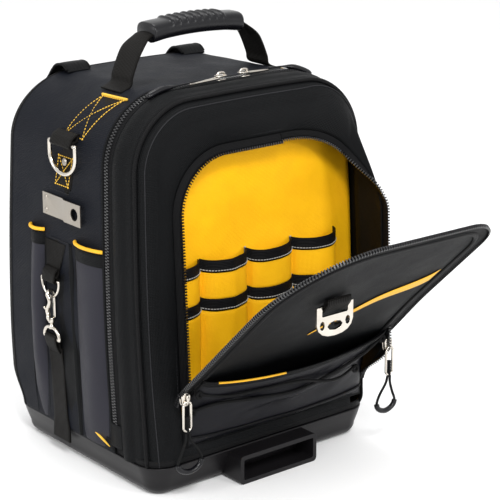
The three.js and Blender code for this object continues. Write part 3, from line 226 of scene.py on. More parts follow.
def cloth(name, color, rough, pitch, depth, uv=True, spread=0.12, creases=0.0, shine=0.1):
    """Woven cloth: two crossing rows of yarn, cloudy wear and, if asked, soft creases."""
    mat, tree, bsdf = shader(name, color, rough, Specular_IOR_Level=shine)
    where = coords(tree, uv)
    mottle(tree, bsdf, where, color, spread, 22.0, rough, 0.06)
    over = waves(tree, where, pitch, "X")
    under = waves(tree, where, pitch, "Y")
    height = maths(tree, "MULTIPLY", over, under)
    fuzz = speckle(tree, where, Scale=900.0, Detail=2.0)
    height = maths(tree, "ADD", height, maths(tree, "MULTIPLY", fuzz, 0.5))
    if creases:
        fold = speckle(tree, where, Scale=14.0, Detail=3.0, Distortion=0.6)
        height = maths(tree, "ADD", height, maths(tree, "MULTIPLY", fold, creases))
    bump(tree, bsdf, height, 0.6, depth)
    return mat


def ribbed(name, color, rough, pitch, depth, along=True):
    """Webbing: fine ribs along its length, crossed by closer picks."""
    mat, tree, bsdf = shader(name, color, rough, Specular_IOR_Level=0.1)
    where = coords(tree, True)
    mottle(tree, bsdf, where, color, 0.15, 30.0, rough, 0.05)
    ribs = waves(tree, where, pitch, "X" if along else "Y")
    picks = waves(tree, where, pitch * 0.7, "Y" if along else "X")
    height = maths(tree, "ADD", ribs, maths(tree, "MULTIPLY", picks, 0.45))
    bump(tree, bsdf, height, 0.7, depth)
    return mat


def moulded(name, color, rough, grain=700.0, shine=0.2):
    """Moulded plastic or rubber with a fine grain."""
    mat, tree, bsdf = shader(name, color, rough, Specular_IOR_Level=shine)
    where = coords(tree, False)
    mottle(tree, bsdf, where, color, 0.1, 12.0, rough, 0.05)
    bump(tree, bsdf, speckle(tree, where, Scale=grain, Detail=2.0, Roughness=0.6), 0.35, 0.00012)
    return mat


def metal(name, color, rough):
    mat, tree, bsdf = shader(name, color, rough, Metallic=1.0)
    where = coords(tree, False)
    mottle(tree, bsdf, where, color, 0.08, 60.0, rough, 0.07)
    bump(tree, bsdf, speckle(tree, where, Scale=300.0, Detail=4.0, Roughness=0.7), 0.12, 0.0001)
    return mat


BLACK = cloth("black_nylon", (0.0032, 0.0035, 0.004), 0.55, 0.0018, 0.001, shine=0.09)
SHADE = cloth("black_nylon_bluish", (0.004, 0.005, 0.0085), 0.55, 0.0018, 0.001, shine=0.1)
GLOSSY = cloth("coated_nylon", (0.0042, 0.0042, 0.0062), 0.36, 0.0009, 0.0002, creases=3.0, shine=0.17)
GREY = cloth("slate_nylon", (0.0115, 0.0112, 0.018), 0.5, 0.0011, 0.00025, creases=1.2, shine=0.2)
YELLOW = cloth("amber_nylon", (1.0, 0.49, 0.003), 0.62, 0.0015, 0.0005, spread=0.07, creases=1.2, shine=0.2)
WEB = ribbed("black_webbing", (0.0052, 0.0046, 0.004), 0.55, 0.0024, 0.0009)
BINDING = ribbed("binding_tape", (0.0032, 0.0032, 0.0036), 0.5, 0.0017, 0.0005, along=False)
TAPE = ribbed("zipper_tape", (0.0034, 0.0034, 0.0038), 0.6, 0.0015, 0.0003)
CORD = ribbed("braided_cord", (0.005, 0.005, 0.0053), 0.55, 0.0012, 0.0004)
PIPING = cloth("amber_piping", (0.8, 0.42, 0.02), 0.5, 0.0012, 0.0002, uv=False, shine=0.25)
THREAD = cloth("amber_thread", (0.78, 0.47, 0.06), 0.5, 0.0006, 0.0002, uv=False)
PALE = cloth("pale_thread", (0.4, 0.39, 0.36), 0.55, 0.0006, 0.0002, uv=False)
DARK_THREAD = cloth("dark_thread", (0.02, 0.02, 0.022), 0.6, 0.0006, 0.0002, uv=False)
RUBBER = moulded("soft_rubber", (0.0032, 0.0032, 0.0045), 0.27, shine=0.3)
TRAY = moulded("tray_plastic", (0.0068, 0.0062, 0.007), 0.36, grain=900.0, shine=0.22)
TEETH = moulded("zipper_teeth", (0.008, 0.008, 0.009), 0.24, shine=0.6)
NICKEL = metal("nickel", (0.6, 0.56, 0.5), 0.2)
DULL_NICKEL = metal("satin_nickel", (0.33, 0.3, 0.26), 0.33)
SLOTS = {mat.name: "black_cloth" for mat in (BLACK, SHADE, GLOSSY, BINDING, TAPE, DARK_THREAD, TEETH)}
SLOTS |= {mat.name: "yellow_cloth" for mat in (YELLOW, PIPING, THREAD, PALE)}
SLOTS |= {GREY.name: "grey_cloth", WEB.name: "webbing", CORD.name: "cord", RUBBER.name: "rubber"}
SLOTS |= {TRAY.name: "tray_plastic", NICKEL.name: "nickel", DULL_NICKEL.name: "nickel"}


# Mesh making
def piece(name, verts, faces, mat, body="bag", replaces=(), uvs=None, smooth=True):
    mesh = bpy.data.meshes.new(name)
    mesh.from_pydata([v * MM for v in verts], [], faces)
    if uvs:
        layer = mesh.uv_layers.new(name="UVMap")
        for loop in mesh.loops:
            u, v = uvs[loop.vertex_index]
            layer.data[loop.index].uv = (u * MM, v * MM)
    mesh.validate()
    obj = bpy.data.objects.new(name, mesh)
    bpy.context.scene.collection.objects.link(obj)
    obj.data.materials.append(mat)
    for polygon in mesh.polygons:
        polygon.use_smooth = smooth
    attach(obj, body)
    if replaces:
        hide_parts(*replaces)
    return obj


def outward(obj):
    """Turns all faces of a closed mesh outwards."""
    made = bmesh.new()
    made.from_mesh(obj.data)
    bmesh.ops.recalc_face_normals(made, faces=made.faces)
    made.to_mesh(obj.data)
    made.free()
    return obj


def grid_uvs(rows):
    """Lengths along the rows and columns, so that a weave keeps its scale."""
    columns = len(rows[0])
    down = [0.0]
    middle = columns // 2
    for a, b in zip(rows, rows[1:]):
        down.append(down[-1] + (b[middle] - a[middle]).length)
    uvs = []
    for i, row in enumerate(rows):
        across = [0.0]
        for p, q in zip(row, row[1:]):
            across.append(across[-1] + (q - p).length)
        half = across[middle]
        uvs += [(a - half, down[i]) for a in across]
    return uvs


def cloth_grid(name, rows, mat, thick=0.0, out=None, **more):
    """A sheet through rows of points. Its thickness grows against its normals, which face out."""
    columns = len(rows[0])
    if out is not None:
        i, j = len(rows) // 2, columns // 2
        i, j = max(1, i), max(1, j)
        across, down = rows[i][j] - rows[i][j - 1], rows[i][j] - rows[i - 1][j]
        if across.cross(down).dot(V(out)) < 0:
            rows = [list(reversed(row)) for row in rows]
    faces = []
    for i in range(len(rows) - 1):
        for j in range(columns - 1):
            a = i * columns + j
            faces.append((a, a + 1, a + columns + 1, a + columns))
    obj = piece(name, [p for row in rows for p in row], faces, mat, uvs=grid_uvs(rows), **more)
    if thick:
        solid = obj.modifiers.new("thickness", "SOLIDIFY")
        solid.thickness = abs(thick) * MM
        solid.offset = -1 if thick > 0 else 1
    return obj


def tube_rings(path, radius, sides, up=None, closed=False):
    """Rings round a path, whose frame turns as little as it can."""
    n = len(path)
    rings = []
    normal = None
    for i, p in enumerate(path):
        ahead = path[(i + 1) % n] if closed or i < n - 1 else p
        behind = path[i - 1] if closed or i > 0 else p
        along = (ahead - behind).normalized()
        if normal is None:
            guess = up or (V((0, 0, 1)) if abs(along.z) < 0.9 else V((1, 0, 0)))
            normal = guess
        normal = (normal - along * normal.dot(along)).normalized()
        side = along.cross(normal)
        r = radius(i / max(1, n - 1)) if callable(radius) else radius
        ring = []
        for k in range(sides):
            angle = 2 * PI * k / sides
            ring.append(p + normal * r * cos(angle) + side * r * sin(angle))
        rings.append(ring)
    return rings


def lofted(rings, closed=False):
    n = len(rings[0])
    verts = [p for ring in rings for p in ring]
    faces = []
    for i in range(len(rings) if closed else len(rings) - 1):
        nxt = (i + 1) % len(rings)
        for j in range(n):
            k = (j + 1) % n
            faces.append((i * n + j, i * n + k, nxt * n + k, nxt * n + j))
    if not closed:
        faces.append(tuple(reversed(range(n))))
        faces.append(tuple((len(rings) - 1) * n + j for j in range(n)))
    return verts, faces


def shell(name, rings, mat, closed=False, **more):
    """A closed form through rings of points."""
    verts, faces = lofted(rings, closed)
    return outward(piece(name, verts, faces, mat, **more))


def ring_uvs(rings):
    uvs = []
    down = 0.0
    for i, ring in enumerate(rings):
        if i:
            down += (ring[0] - rings[i - 1][0]).length
        girth = sum((a - b).length for a, b in zip(ring, ring[1:] + ring[:1]))
        uvs += [(girth * j / len(ring), down) for j in range(len(ring))]
    return uvs


def tube(name, path, radius, mat, sides=10, up=None, closed=False, **more):
    rings = tube_rings(path, radius, sides, up, closed)
    return shell(name, rings, mat, closed, uvs=ring_uvs(rings), **more)


def smooth_path(points, count, closed=False):
    """Points on a Catmull-Rom curve through the given ones."""
    n = len(points)
    spans = n if closed else n - 1
    result = []
    for k in range(count + (0 if closed else 1)):
        t = k / count * spans
        i = min(int(t), spans - 1)
        f = t - i
        pick = (lambda j: points[j % n]) if closed else (lambda j: points[min(n - 1, max(0, j))])
        a, b, c, d = pick(i - 1), pick(i), pick(i + 1), pick(i + 2)
        square = 2 * a - 5 * b + 4 * c - d
        cube = 3 * b - a - 3 * c + d
        result.append(0.5 * ((2 * b) + (c - a) * f + square * f * f + cube * f**3))
    return result


def resample(path, pitch):
    """Points at equal steps along a path, with the direction there."""
    lengths = [0.0]
    for a, b in zip(path, path[1:]):
        lengths.append(lengths[-1] + (b - a).length)
    total = lengths[-1]
    count = max(1, int(total / pitch))
    result = []
    i = 0
    for k in range(count + 1):
        want = min(total, k * total / count)
        while i < len(path) - 2 and lengths[i + 1] < want:
            i += 1
        span = lengths[i + 1] - lengths[i] or 1
        place = path[i].lerp(path[i + 1], (want - lengths[i]) / span)
        result.append((place, (path[i + 1] - path[i]).normalized(), i))
    return result


def blocks(name, frames, size, mat, taper=0.75):
    """Small tapered blocks, one at each frame (place, along, out), in one mesh."""
    verts, faces = [], []
    along_half, side_half, high = size
    for place, along, out in frames:
        side = along.cross(out).normalized()
        base = len(verts)
        for level, share in ((0, 1), (high, taper)):
            for a, s in ((-1, -1), (1, -1), (1, 1), (-1, 1)):
                corner = along * a * along_half * share + side * s * side_half * share
                verts.append(place + corner + out * level)
        for quad in ((3, 2, 1, 0), (4, 5, 6, 7), (0, 1, 5, 4), (1, 2, 6, 5), (2, 3, 7, 6), (3, 0, 4, 7)):
            faces.append(tuple(base + q for q in quad))
    return outward(piece(name, verts, faces, mat, smooth=False))


STITCHES = {"amber": [], "pale": [], "dark": []}


def sew(color, path, normal, pitch):
    """Stitches along a path that lies on cloth with the given normal."""
    for p, along, _ in resample(path, pitch):
        STITCHES[color].append((p, along, (normal - along * normal.dot(along)).normalized()))


# The body's surface: a runs round the front outline from the top's middle, s is the depth
def outline(a):
    length = abs(a)
    if length > SIDE_START:
        x, z, nx, nz = HALF_W, SIDE_TOP - (length - SIDE_START), 1.0, 0.0
    elif length > TOP_FLAT:
        angle = (length - TOP_FLAT) / CORNER_R
        nx, nz = sin(angle), cos(angle)
        x, z = TOP_FLAT + CORNER_R * nx, SIDE_TOP + CORNER_R * nz
    else:
        x, z, nx, nz = length, BAG_TOP, 0.0, 1.0
    high = min(1, max(0, (z - RIM) / (SIDE_TOP - RIM)))
    x += SIDE_BULGE * sin(PI * high) * nx
    z += TOP_CROWN * (1 - (x / HALF_W) ** 2) * nz
    side = -1 if a < 0 else 1
    return x * side, z, nx * side, nz


def depth(z):
    """The bag's depth at a height, as a share of its depth at the rim."""
    return 1 - TOP_DEPTH_LOSS * (z - RIM) / (BAG_TOP - RIM)


def swell(z):
    """How far the padded back stands out behind the tray."""
    return BACK_SWELL * ease(z, RIM, RIM + SWELL_TO)


def skin(a, s, off=0.0):
    x, z, nx, nz = outline(a)
    high = min(1, max(0, (z - SIDE_TOP) / CORNER_R))
    y = s * depth(z) + swell(z) * ease(s, 60, HALF_D)
    return V((x + off * nx, y, z + off * nz - TOP_FALL * high * (0.5 + s / (2 * HALF_D))))


def skin_normal(a):
    _, _, nx, nz = outline(a)
    return V((nx, 0, nz))


def side_at(z):
    return SIDE_START + SIDE_TOP - z


def edge_radius(z):
    return lerp(EDGE_R_LOW, EDGE_R, ease(z, RIM, RIM + 100))


def front_y(z):
    return -HALF_D * depth(z)


def back_y(z):
    return HALF_D * depth(z) + swell(z)


OUTLINE_END = side_at(RIM + 0.6)


def outline_steps(n):
    return steps(n, -OUTLINE_END, OUTLINE_END)


def opening_point(a):
    """The opening's edge that faces the outline at a: x and z."""
    length = abs(a)
    left = a < 0
    angle = min(1, max(0, (length - TOP_FLAT) / ARC_L)) * PI / 2
    rx = OPEN_R if left else BAND_X - OPEN_W + OPEN_R
    if length <= TOP_FLAT:
        return a / TOP_FLAT * (OPEN_W - OPEN_R), OPEN_TOP
    if length <= SIDE_START:
        x = OPEN_W - OPEN_R + rx * sin(angle)
        return (-x if left else x), OPEN_TOP - OPEN_R + OPEN_R * cos(angle)
    t = (length - SIDE_START) / (OUTLINE_END - SIDE_START)
    return (-OPEN_W if left else BAND_X), lerp(OPEN_TOP - OPEN_R, FLAP_Z, t)


def opening_inward(a):
    """The direction across the opening's edge, towards the opening."""
    x1, z1 = opening_point(a - 1.0)
    x2, z2 = opening_point(a + 1.0)
    run = V((x2 - x1, 0, z2 - z1)).normalized()
    return V((run.z, 0, -run.x))


def flare(z):
    """Share by which the opening's right edge stands forward at a height."""
    return ease(z, FLAP_Z + 15, 130) * (1 - ease(z, 285.8, 355.8))


def opening_3d(a):
    x, z = opening_point(a)
    f = flare(z) if a > TOP_FLAT else 0.0
    return V((x - 3 * f, front_y(z) - 1 - 42 * f, z))


def rounding(a, share, end, sign, off=0.0):
    """A point on the rounded front or back edge; share 0 is on the side, 1 on the face."""
    r = edge_radius(outline(a)[1])
    angle = share * PI / 2
    return skin(a, end - sign * (r - r * sin(angle)), off - r * (1 - cos(angle)))


def front_share(a):
    """How far round the edge the front's side cloth goes before the face begins."""
    if a <= 60:
        return 1.0
    r = edge_radius(outline(a)[1])
    tight = math.acos(1 - 9 / r) / (PI / 2)
    return lerp(1.0, tight, ease(a, 60, SIDE_START - 10))


def make_front():
    gusset = []
    for a in outline_steps(190):
        row = []
        z = outline(a)[1]
        r = edge_radius(z)
        start, stop = ZIP_S - 8, -HALF_D + r
        top = 1 - ease(abs(a), TOP_FLAT, SIDE_START)
        for t in steps(9):
            s = lerp(start, stop, t)
            puff = 4.6 * sin(PI * min(1, t * 1.25)) ** 0.7 if t < 0.8 else 0
            crease = 1.1 * wobble(a, s, 0, 60, 1) * sin(PI * t)
            row.append(skin(a, s, puff * (1 - 0.4 * top) + crease))
        full = front_share(a)
        for t in steps(8)[1:]:
            share = t * full
            groove = -2.6 * bell(share, 0.3, 0.12)
            row.append(rounding(a, share, -HALF_D, -1, groove))
        edge = row[-1]
        inner = opening_3d(a)
        z_in = inner.z
        wide = (inner - edge).length
        for t in steps(10)[1:]:
            p = edge.lerp(inner, t)
            bulge = min(4.5, wide * 0.09) * sin(PI * t) ** 0.8
            dent = 1.8 * wobble(p.x, 0, p.z, 48, 3) * sin(PI * t)
            if a > TOP_FLAT and flare(z_in) > 0.02:
                out = V((0.6, -0.4, 0)).normalized()
                p = p + out * (bulge * 0.7 + dent * 0.6)
            else:
                p = p + V((0, -1, 0)) * (bulge + dent)
            row.append(p)
        gusset.append(row)
    cloth_grid("front_cloth", gusset, BLACK, thick=2.0, replaces=("front_shell", "pocket_band_right"))
    kick = []
    for z in steps(4, RIM + 0.6, FLAP_Z + 2):
        kick.append([V((x, front_y(z) - 0.6 * sin(PI * (z - RIM) / 16), z)) for x in steps(30, -122, 128)])
    cloth_grid("kick_strip", kick, BLACK, thick=1.6, out=(0, -1, 0))
    piping = [rounding(a, 0.3, -HALF_D, -1, -0.2) for a in outline_steps(170)]
    tube("front_piping", piping, 2.5, BINDING, sides=10)
    inner_seam = [rounding(a, 0.62 * front_share(a), -HALF_D, -1, 0.1) for a in outline_steps(170)]
    tube("front_seam", inner_seam, 0.7, DARK_THREAD, sides=5)


def make_rear():
    rows = []
    for a in outline_steps(190):
        z = outline(a)[1]
        r = edge_radius(z)
        start, stop = ZIP_S + 8, HALF_D - r
        row = []
        for t in steps(22):
            s = lerp(start, stop, t)
            sag = 1.5 * wobble(a, s, 0, 75, 5) + 0.7 * wobble(a, s, 0, 32, 6)
            row.append(skin(a, s, sag * sin(PI * t) ** 0.5 + 0.2))
        for t in steps(9)[1:]:
            row.append(rounding(a, t, HALF_D, 1))
        edge = row[-1]
        centre = V((edge.x * 0.9, edge.y, lerp(edge.z, 220, 0.12)))
        for t in steps(2)[1:]:
            row.append(edge.lerp(centre, t))
        rows.append(row)
    cloth_grid("rear_cloth", rows, SHADE, thick=2.0, replaces=("rear_shell",))
    face = []
    for z in steps(60, RIM + 0.6, 425):
        wide = outline_half(z) - 22
        face.append([V((wide * u, back_y(z) - 0.3, min(z, 410))) for u in steps(30, -1, 1)])
    cloth_grid("back_face", face[:-4], BLACK, thick=1.6)
    binding = []
    for a in outline_steps(180):
        binding.append([rounding(a, t, HALF_D, 1, 0.9) for t in steps(5, 0.18, 0.72)])
    cloth_grid("back_binding", binding, BINDING, thick=1.4)
    seam = [rounding(a, 0.12, HALF_D, 1, 0.6) for a in outline_steps(170)]
    tube("back_piping", seam, 2.4, BINDING, sides=10)
    top_seam = []
    for a in steps(90, -300, 300):
        top_seam.append(skin(a, 66 - 10 * ease(abs(a), 120, 300), 0.6))
    tube("top_seam", top_seam, 0.8, DARK_THREAD, sides=5)


def outline_half(z):
    if z <= SIDE_TOP:
        return HALF_W + SIDE_BULGE * sin(PI * max(0, (z - RIM) / (SIDE_TOP - RIM)))
    return TOP_FLAT + sqrt(max(0, CORNER_R**2 - (z - SIDE_TOP) ** 2))


# Zippers
def make_main_zipper():
    end = side_at(RIM + 14)
    run = steps(210, -end, end)
    rows = [
        [skin(a, ZIP_S + w, 0.8 + 0.5 * (abs(w) < 4)) for w in (-9, -6, -3.4, 0, 3.4, 6, 9)]
        for a in run
    ]
    cloth_grid("main_zipper_tape", rows, TAPE, thick=1.0, replaces=("main_zipper",))
    teeth = []
    count = int(2 * end / MAIN_TOOTH_PITCH)
    for k in range(count):
        a = -end + (k + 0.5) * 2 * end / count
        side = 1.9 if k % 2 else -1.9
        along = (skin(a + 1, ZIP_S) - skin(a - 1, ZIP_S)).normalized()
        teeth.append((skin(a, ZIP_S + side, 1.2), along, skin_normal(a)))
    blocks("main_zipper_teeth", teeth, (0.95, 2.3, 2.2), TEETH)
    for side in (-1, 1):
        edge = [
            [skin(a, ZIP_S + side * w, 0.9 + 1.6 * sin(PI * (w - 7.5) / 4)) for w in steps(4, 7.5, 11.5)]
            for a in run
        ]
        name = "front" if side < 0 else "rear"
        cloth_grid(f"zipper_edge_{name}", edge, BLACK, thick=0.8)


def zip_rows(path, inward, normal, width=9):
    return [
        [p + i * w + n * (0.3 + 0.45 * max(0, w)) for w in (-4, 0.4, 3, 6, width)]
        for p, i, n in zip(path, inward, normal)
    ]


def make_pocket_zippers():
    path, inward, normal = [], [], []
    for a in steps(120, -side_at(98), 60):
        x, z = opening_point(a)
        path.append(V((x, front_y(z) - 0.4, z)))
        inward.append(opening_inward(a))
        normal.append(V((0, -1, 0)))
    rows = zip_rows(path, inward, normal)
    cloth_grid(
        "pocket_zip_tape_left", rows, TAPE, thick=1.0, out=(0, -1, 0),
        replaces=("pocket_zipper_left",),
    )
    edge = [row[-1] for row in rows]
    teeth = [(p + V((0, 0.4, 0)), along, V((0, -1, 0))) for p, along, _ in resample(edge, TOOTH_PITCH)]
    blocks("pocket_zip_teeth_left", teeth, (0.85, 2.0, 2.2), TEETH)
    right = []
    for a in steps(90, 60, side_at(60)):
        p = opening_3d(a)
        way = opening_inward(a).lerp(V((0, -1, 0)), flare(p.z)).normalized()
        right.append([p + way * w + V((0.4, 0, 0)) for w in (-1, 2, 5, 8.5)])
    cloth_grid("pocket_zip_tape_right", right, TAPE, thick=1.0, replaces=("pocket_zipper_right",))
    tip = [row[-1] for row in right]
    out = V((-0.5, -0.7, 0.2)).normalized()
    teeth = [(p, along, out) for p, along, _ in resample(tip, TOOTH_PITCH)]
    blocks("pocket_zip_teeth_right", teeth, (1.0, 2.0, 2.2), TEETH)
    bead = [V((p.x - 4.5 * i.x, p.y - 1.0, p.z - 4.5 * i.z)) for p, i in zip(path, inward)]
    sew("dark", bead, V((0, -1, 0)), 4)


# Organizer
def panel_y(z):
    return -106 * depth(z) - 0.3


def make_organizer():
    rows = []
    for z in steps(80, RIM + 1, 400):
        half = outline_half(z) - 4
        row = []
        for u in steps(70, -1, 1):
            x = half * u
            run = (x * 0.62 - z) / 46.0
            crease = 4.2 * sin(run + 1.1 * wobble(x, 0, z, 90, 9)) * ease(z, 200, 290)
            soft = 2.4 * wobble(x, 0, z, 70, 2) + 0.7 * wobble(x, 0, z, 24, 4)
            fade = 1 - ease(abs(u), 0.86, 1)
            row.append(V((x, panel_y(z) - 2.5 + min(4.0, crease + soft) * fade, z)))
        rows.append(row)
    cloth_grid("organizer_back", rows, YELLOW, thick=1.4, out=(0, -1, 0), replaces=("organizer_panel",))
    for name, top, foot, deep in (("upper", 252, 205, 19.0), ("lower", 208, 58, 18.0)):
        def at(u, z, thick):
            loop = abs(sin(PI * LOOP_COUNT * u)) ** 0.62
            index = min(LOOP_COUNT - 1, int(u * LOOP_COUNT))
            skew = 0.16 * sin(index * 2.1 + 0.7)
            local = (u * LOOP_COUNT) % 1
            shaped = max(0.0, sin(PI * local ** (1 + skew))) ** 0.5
            low = ease(top - z, 20, 120) if name == "lower" else 0
            bulge = deep * shaped * (1 - 0.55 * low)
            bulge += (2.6 + 3.4 * low) * wobble(u * 2 * LOOP_HALF_W, 0, z * 0.3, 19, 11 + index) * loop
            sag = -2.4 * shaped * (1 if z > top - 20 else 0.4)
            x = lerp(-LOOP_HALF_W, LOOP_HALF_W, u)
            return V((x, panel_y(z) - 0.6 - bulge - thick, z + sag))
        columns = steps(120)
        band = [[at(u, z, 1.2) for u in columns] for z in steps(5, top, top - BAND_H)]
        cloth_grid(
            f"loop_band_{name}_tape", band, BINDING, thick=1.4, out=(0, -1, 0),
            replaces=(f"loop_band_{name}",),
        )
        cloths = [
            [at(u, z, 0.0) for u in columns]
            for z in steps(16 if name == "lower" else 8, top - 12, foot)
        ]
        cloth_grid(
            f"tool_loop_cloth_{name}", cloths, YELLOW, thick=1.2, out=(0, -1, 0),
            replaces=(f"tool_loops_{name}",),
        )
        line = [at(u, top - 11.6, 1.5) for u in steps(200)]
        sew("pale", line, V((0, -1, 0)), 3.4)
        for u in (0.25, 0.5, 0.75):
            tack = [at(u, z, 1.4) for z in steps(14, top + 0.5, top - 15)]
            STITCHES["pale"] += [(p + V((0, -0.6, 0)), V((1, 0, 0)), V((0, -1, 0))) for p in tack]


# Flap: t runs along it from its root, n out of its outer face
def flap_line(t):
    """The flap's place at a length from its root: y, z and the angle from upright."""
    angle = min(FLAP_LEAN, max(0, (t - FLAP_UPRIGHT) / FLAP_BEND_R))
    rest = max(0, t - FLAP_UPRIGHT - FLAP_BEND_R * FLAP_LEAN)
    y = front_y(FLAP_Z) - FLAP_BEND_R * (1 - cos(angle)) - rest * sin(angle)
    z = FLAP_Z + 0.3 + min(t, FLAP_UPRIGHT) + FLAP_BEND_R * sin(angle) + rest * cos(angle)
    return y, z, angle


def flap_point(x, t, n=0.0):
    y, z, angle = flap_line(t)
    forward = FLAP_FORWARD * (x + FLAP_LEFT) / (FLAP_LEFT + FLAP_RIGHT) * ease(t, 0, 80)
    return V((x, y - forward - n * cos(angle), z - n * sin(angle)))


def flap_normal(t):
    angle = flap_line(t)[2]
    return V((0, -cos(angle), -sin(angle)))


def flap_edges(t):
    left, right = [r * (1 - sqrt(1 - corner_share(t, r) ** 2)) for r in FLAP_CORNERS]
    near = lerp(116.4, FLAP_LEFT, ease(t, FLAP_UPRIGHT, 95))
    far = lerp(BAND_X - 4, FLAP_RIGHT, ease(t, 80, 200))
    return left - near, far - right


def corner_share(t, r):
    return min(1, max(0, t - (FLAP_L - r)) / r)


def flap_wave(x, t):
    """Slack of the flap's cloth."""
    left, right = flap_edges(min(t, FLAP_L - 30))
    u = (x - left) / (right - left)
    free = ease(t, 110, 200)
    wave = 2.2 * sin(x / 33 + t / 60) * free + 1.6 * wobble(x, t, 0, 55, 21)
    hem = ease(min(u, 1 - u), 0, 0.12)
    return wave * hem * (0.5 + 0.5 * (1 - ease(t, 290, 340)))


# Lengths along the flap at which its rows lie, closer together in its corners
FLAP_TS = steps(30, 0, FLAP_L - FLAP_CORNERS[0])
FLAP_TS += [FLAP_L - FLAP_CORNERS[0] * (1 - sin(k * PI / 2 * 0.985)) for k in steps(22)[1:]]


def make_flap():
    rows = []
    for t in FLAP_TS:
        left, right = flap_edges(t)
        rows.append([
            flap_point(lerp(left, right, u), t, flap_wave(lerp(left, right, u), t))
            for u in steps(48)
        ])
    cloth_grid("flap_cloth", rows, BLACK, thick=2.0, out=(0, -1, -1), replaces=("front_flap",))
    path = flap_edge_path(58)
    tape, teeth, binding = [], [], []
    for x, t, dx, dt in path:
        tape.append([flap_point(x + dx * w, t + dt * w, 0.8) for w in (-4, 0, 3, 6, 9)])
        binding.append([
            flap_point(x + dx * w, t + dt * w, 1.0 + 1.5 * sin(PI * (w + 9) / 7))
            for w in steps(5, -9, -2)
        ])
    cloth_grid("flap_zip_tape", tape, TAPE, thick=1.4, out=(0, -1, -1), replaces=("flap_zipper",))
    cloth_grid("flap_rim_tape", binding, BINDING, thick=1.0, out=(0, -1, -1))
    edge = [row[-1] for row in tape]
    outs = [flap_point(x + dx, t + dt) - flap_point(x, t) for x, t, dx, dt in path]
    for p, along, i in resample(edge, TOOTH_PITCH):
        n = flap_normal(path[min(i, len(path) - 1)][1])
        teeth.append((p - n * 0.2, along, outs[i].normalized()))
    blocks("flap_zip_teeth", teeth, (1.0, 2.4, 2.4), TEETH)


def flap_edge_path(start):
    side = {}
    for sign in (-1, 1):
        rows = []
        for t in [t for t in FLAP_TS if t >= start]:
            angle = math.asin(corner_share(t, FLAP_CORNERS[0 if sign < 0 else 1]))
            x = flap_edges(t)[0 if sign < 0 else 1]
            rows.append((x, t, sign * cos(angle), sin(angle)))
        side[sign] = rows
    return side[-1] + list(reversed(side[1]))


def pocket_rise(u, v):
    return 26 * sin(PI * u) ** 0.6 * sin(PI * (0.12 + 0.68 * v)) ** 0.8 if 0 < u < 1 else 0


def pocket_point(u, v, lift=0.0):
    t = lerp(3, POCKET_L, v)
    left, right = flap_edges(t)
    rise = pocket_rise(u, v) * ease(v, 0, 0.07)
    return flap_point(lerp(left + 3, right - 3, u), t, 1.2 + rise + lift)


def pocket_folds(u, v):
    """Folds that run from the bungee's ends down across the pocket."""
    slant = sin(9 * v - 5.5 * u + 1.5 * wobble(u * 200, v * 100, 0, 60, 31))
    sharp = blunt(slant, 1.6)
    fade = sin(PI * min(1, max(0, u))) ** 0.5 * sin(PI * min(1, max(0, v))) ** 0.7
    return (3.6 * sharp + 3.0 * wobble(u * 230, v * 95, 3, 34, 33)) * fade


def make_flap_pocket():
    rows = [[pocket_point(u, v, pocket_folds(u, v)) for u in steps(80)] for v in steps(36)]
    cloth_grid("flap_pocket_cloth", rows, GLOSSY, thick=1.6, out=(0, -1, -1), replaces=("flap_pocket",))
    edge = [pocket_point(u, 1, 1) for u in steps(60)]
    up = flap_point(0, 200) - flap_point(0, 190)
    up.normalize()
    edge = [p + up * 1.9 for p in edge]
    tube("flap_pocket_edge", edge[4:25], 1.2, PIPING, sides=8)
    tube("flap_pocket_cord", edge, 1.15, BINDING, sides=8, replaces=("flap_pocket_piping",))
    binding = [[p - up * w + flap_normal(108) * 1.2 for w in steps(3, 1, 8)] for p in edge]
    cloth_grid("flap_pocket_hem", binding, BINDING, thick=1.0, out=(0, -1, -1))
    side = [pocket_point(0.004, v, 1.4) for v in steps(30)]
    tube("flap_pocket_side_seam", side, 1.3, BINDING, sides=8)
    hem = [pocket_point(u, 0.1, pocket_folds(u, 0.1) + 1.0) for u in steps(60)]
    tube("flap_pocket_seam", hem, 1.3, BINDING, sides=6)


BUNGEE_LOWER = [
    (0.01, 0.42, 0), (0.12, 0.58, 0), (0.3, 0.62, 0), (0.5, 0.64, 0), (0.7, 0.72, 0),
    (0.88, 0.82, 0), (0.985, 0.93, 0),
]
BUNGEE_UPPER = [
    (0.015, 0.8, 0), (0.15, 0.78, 0), (0.32, 0.82, 0), (0.52, 0.8, 1), (0.66, 0.71, 5),
    (0.76, 0.62, 3), (0.9, 0.46, 0),
]


def make_bungees():
    for name, rows in (("lower", BUNGEE_LOWER), ("upper", BUNGEE_UPPER)):
        route = smooth_path(
            [pocket_point(u, v, pocket_folds(u, v) + 2.2 + lift) for u, v, lift in rows], 60,
        )
        tube(f"bungee_{name}_cord", route, 1.9, CORD, sides=10, replaces=(f"bungee_{name}",))


# Webbing strips on the skin
SIDE_WEBBING = [(0, -30, 1.45), (0.41, -4, 1.3), (0.62, 10, 1.15), (1, 22, 1)]


def webbing_at(share):
    for p, q in zip(SIDE_WEBBING, SIDE_WEBBING[1:]):
        if share <= q[0]:
            k = (share - p[0]) / (q[0] - p[0])
            return lerp(p[1], q[1], k), WEBBING_W * lerp(p[2], q[2], k)
    return SIDE_WEBBING[-1][1], WEBBING_W


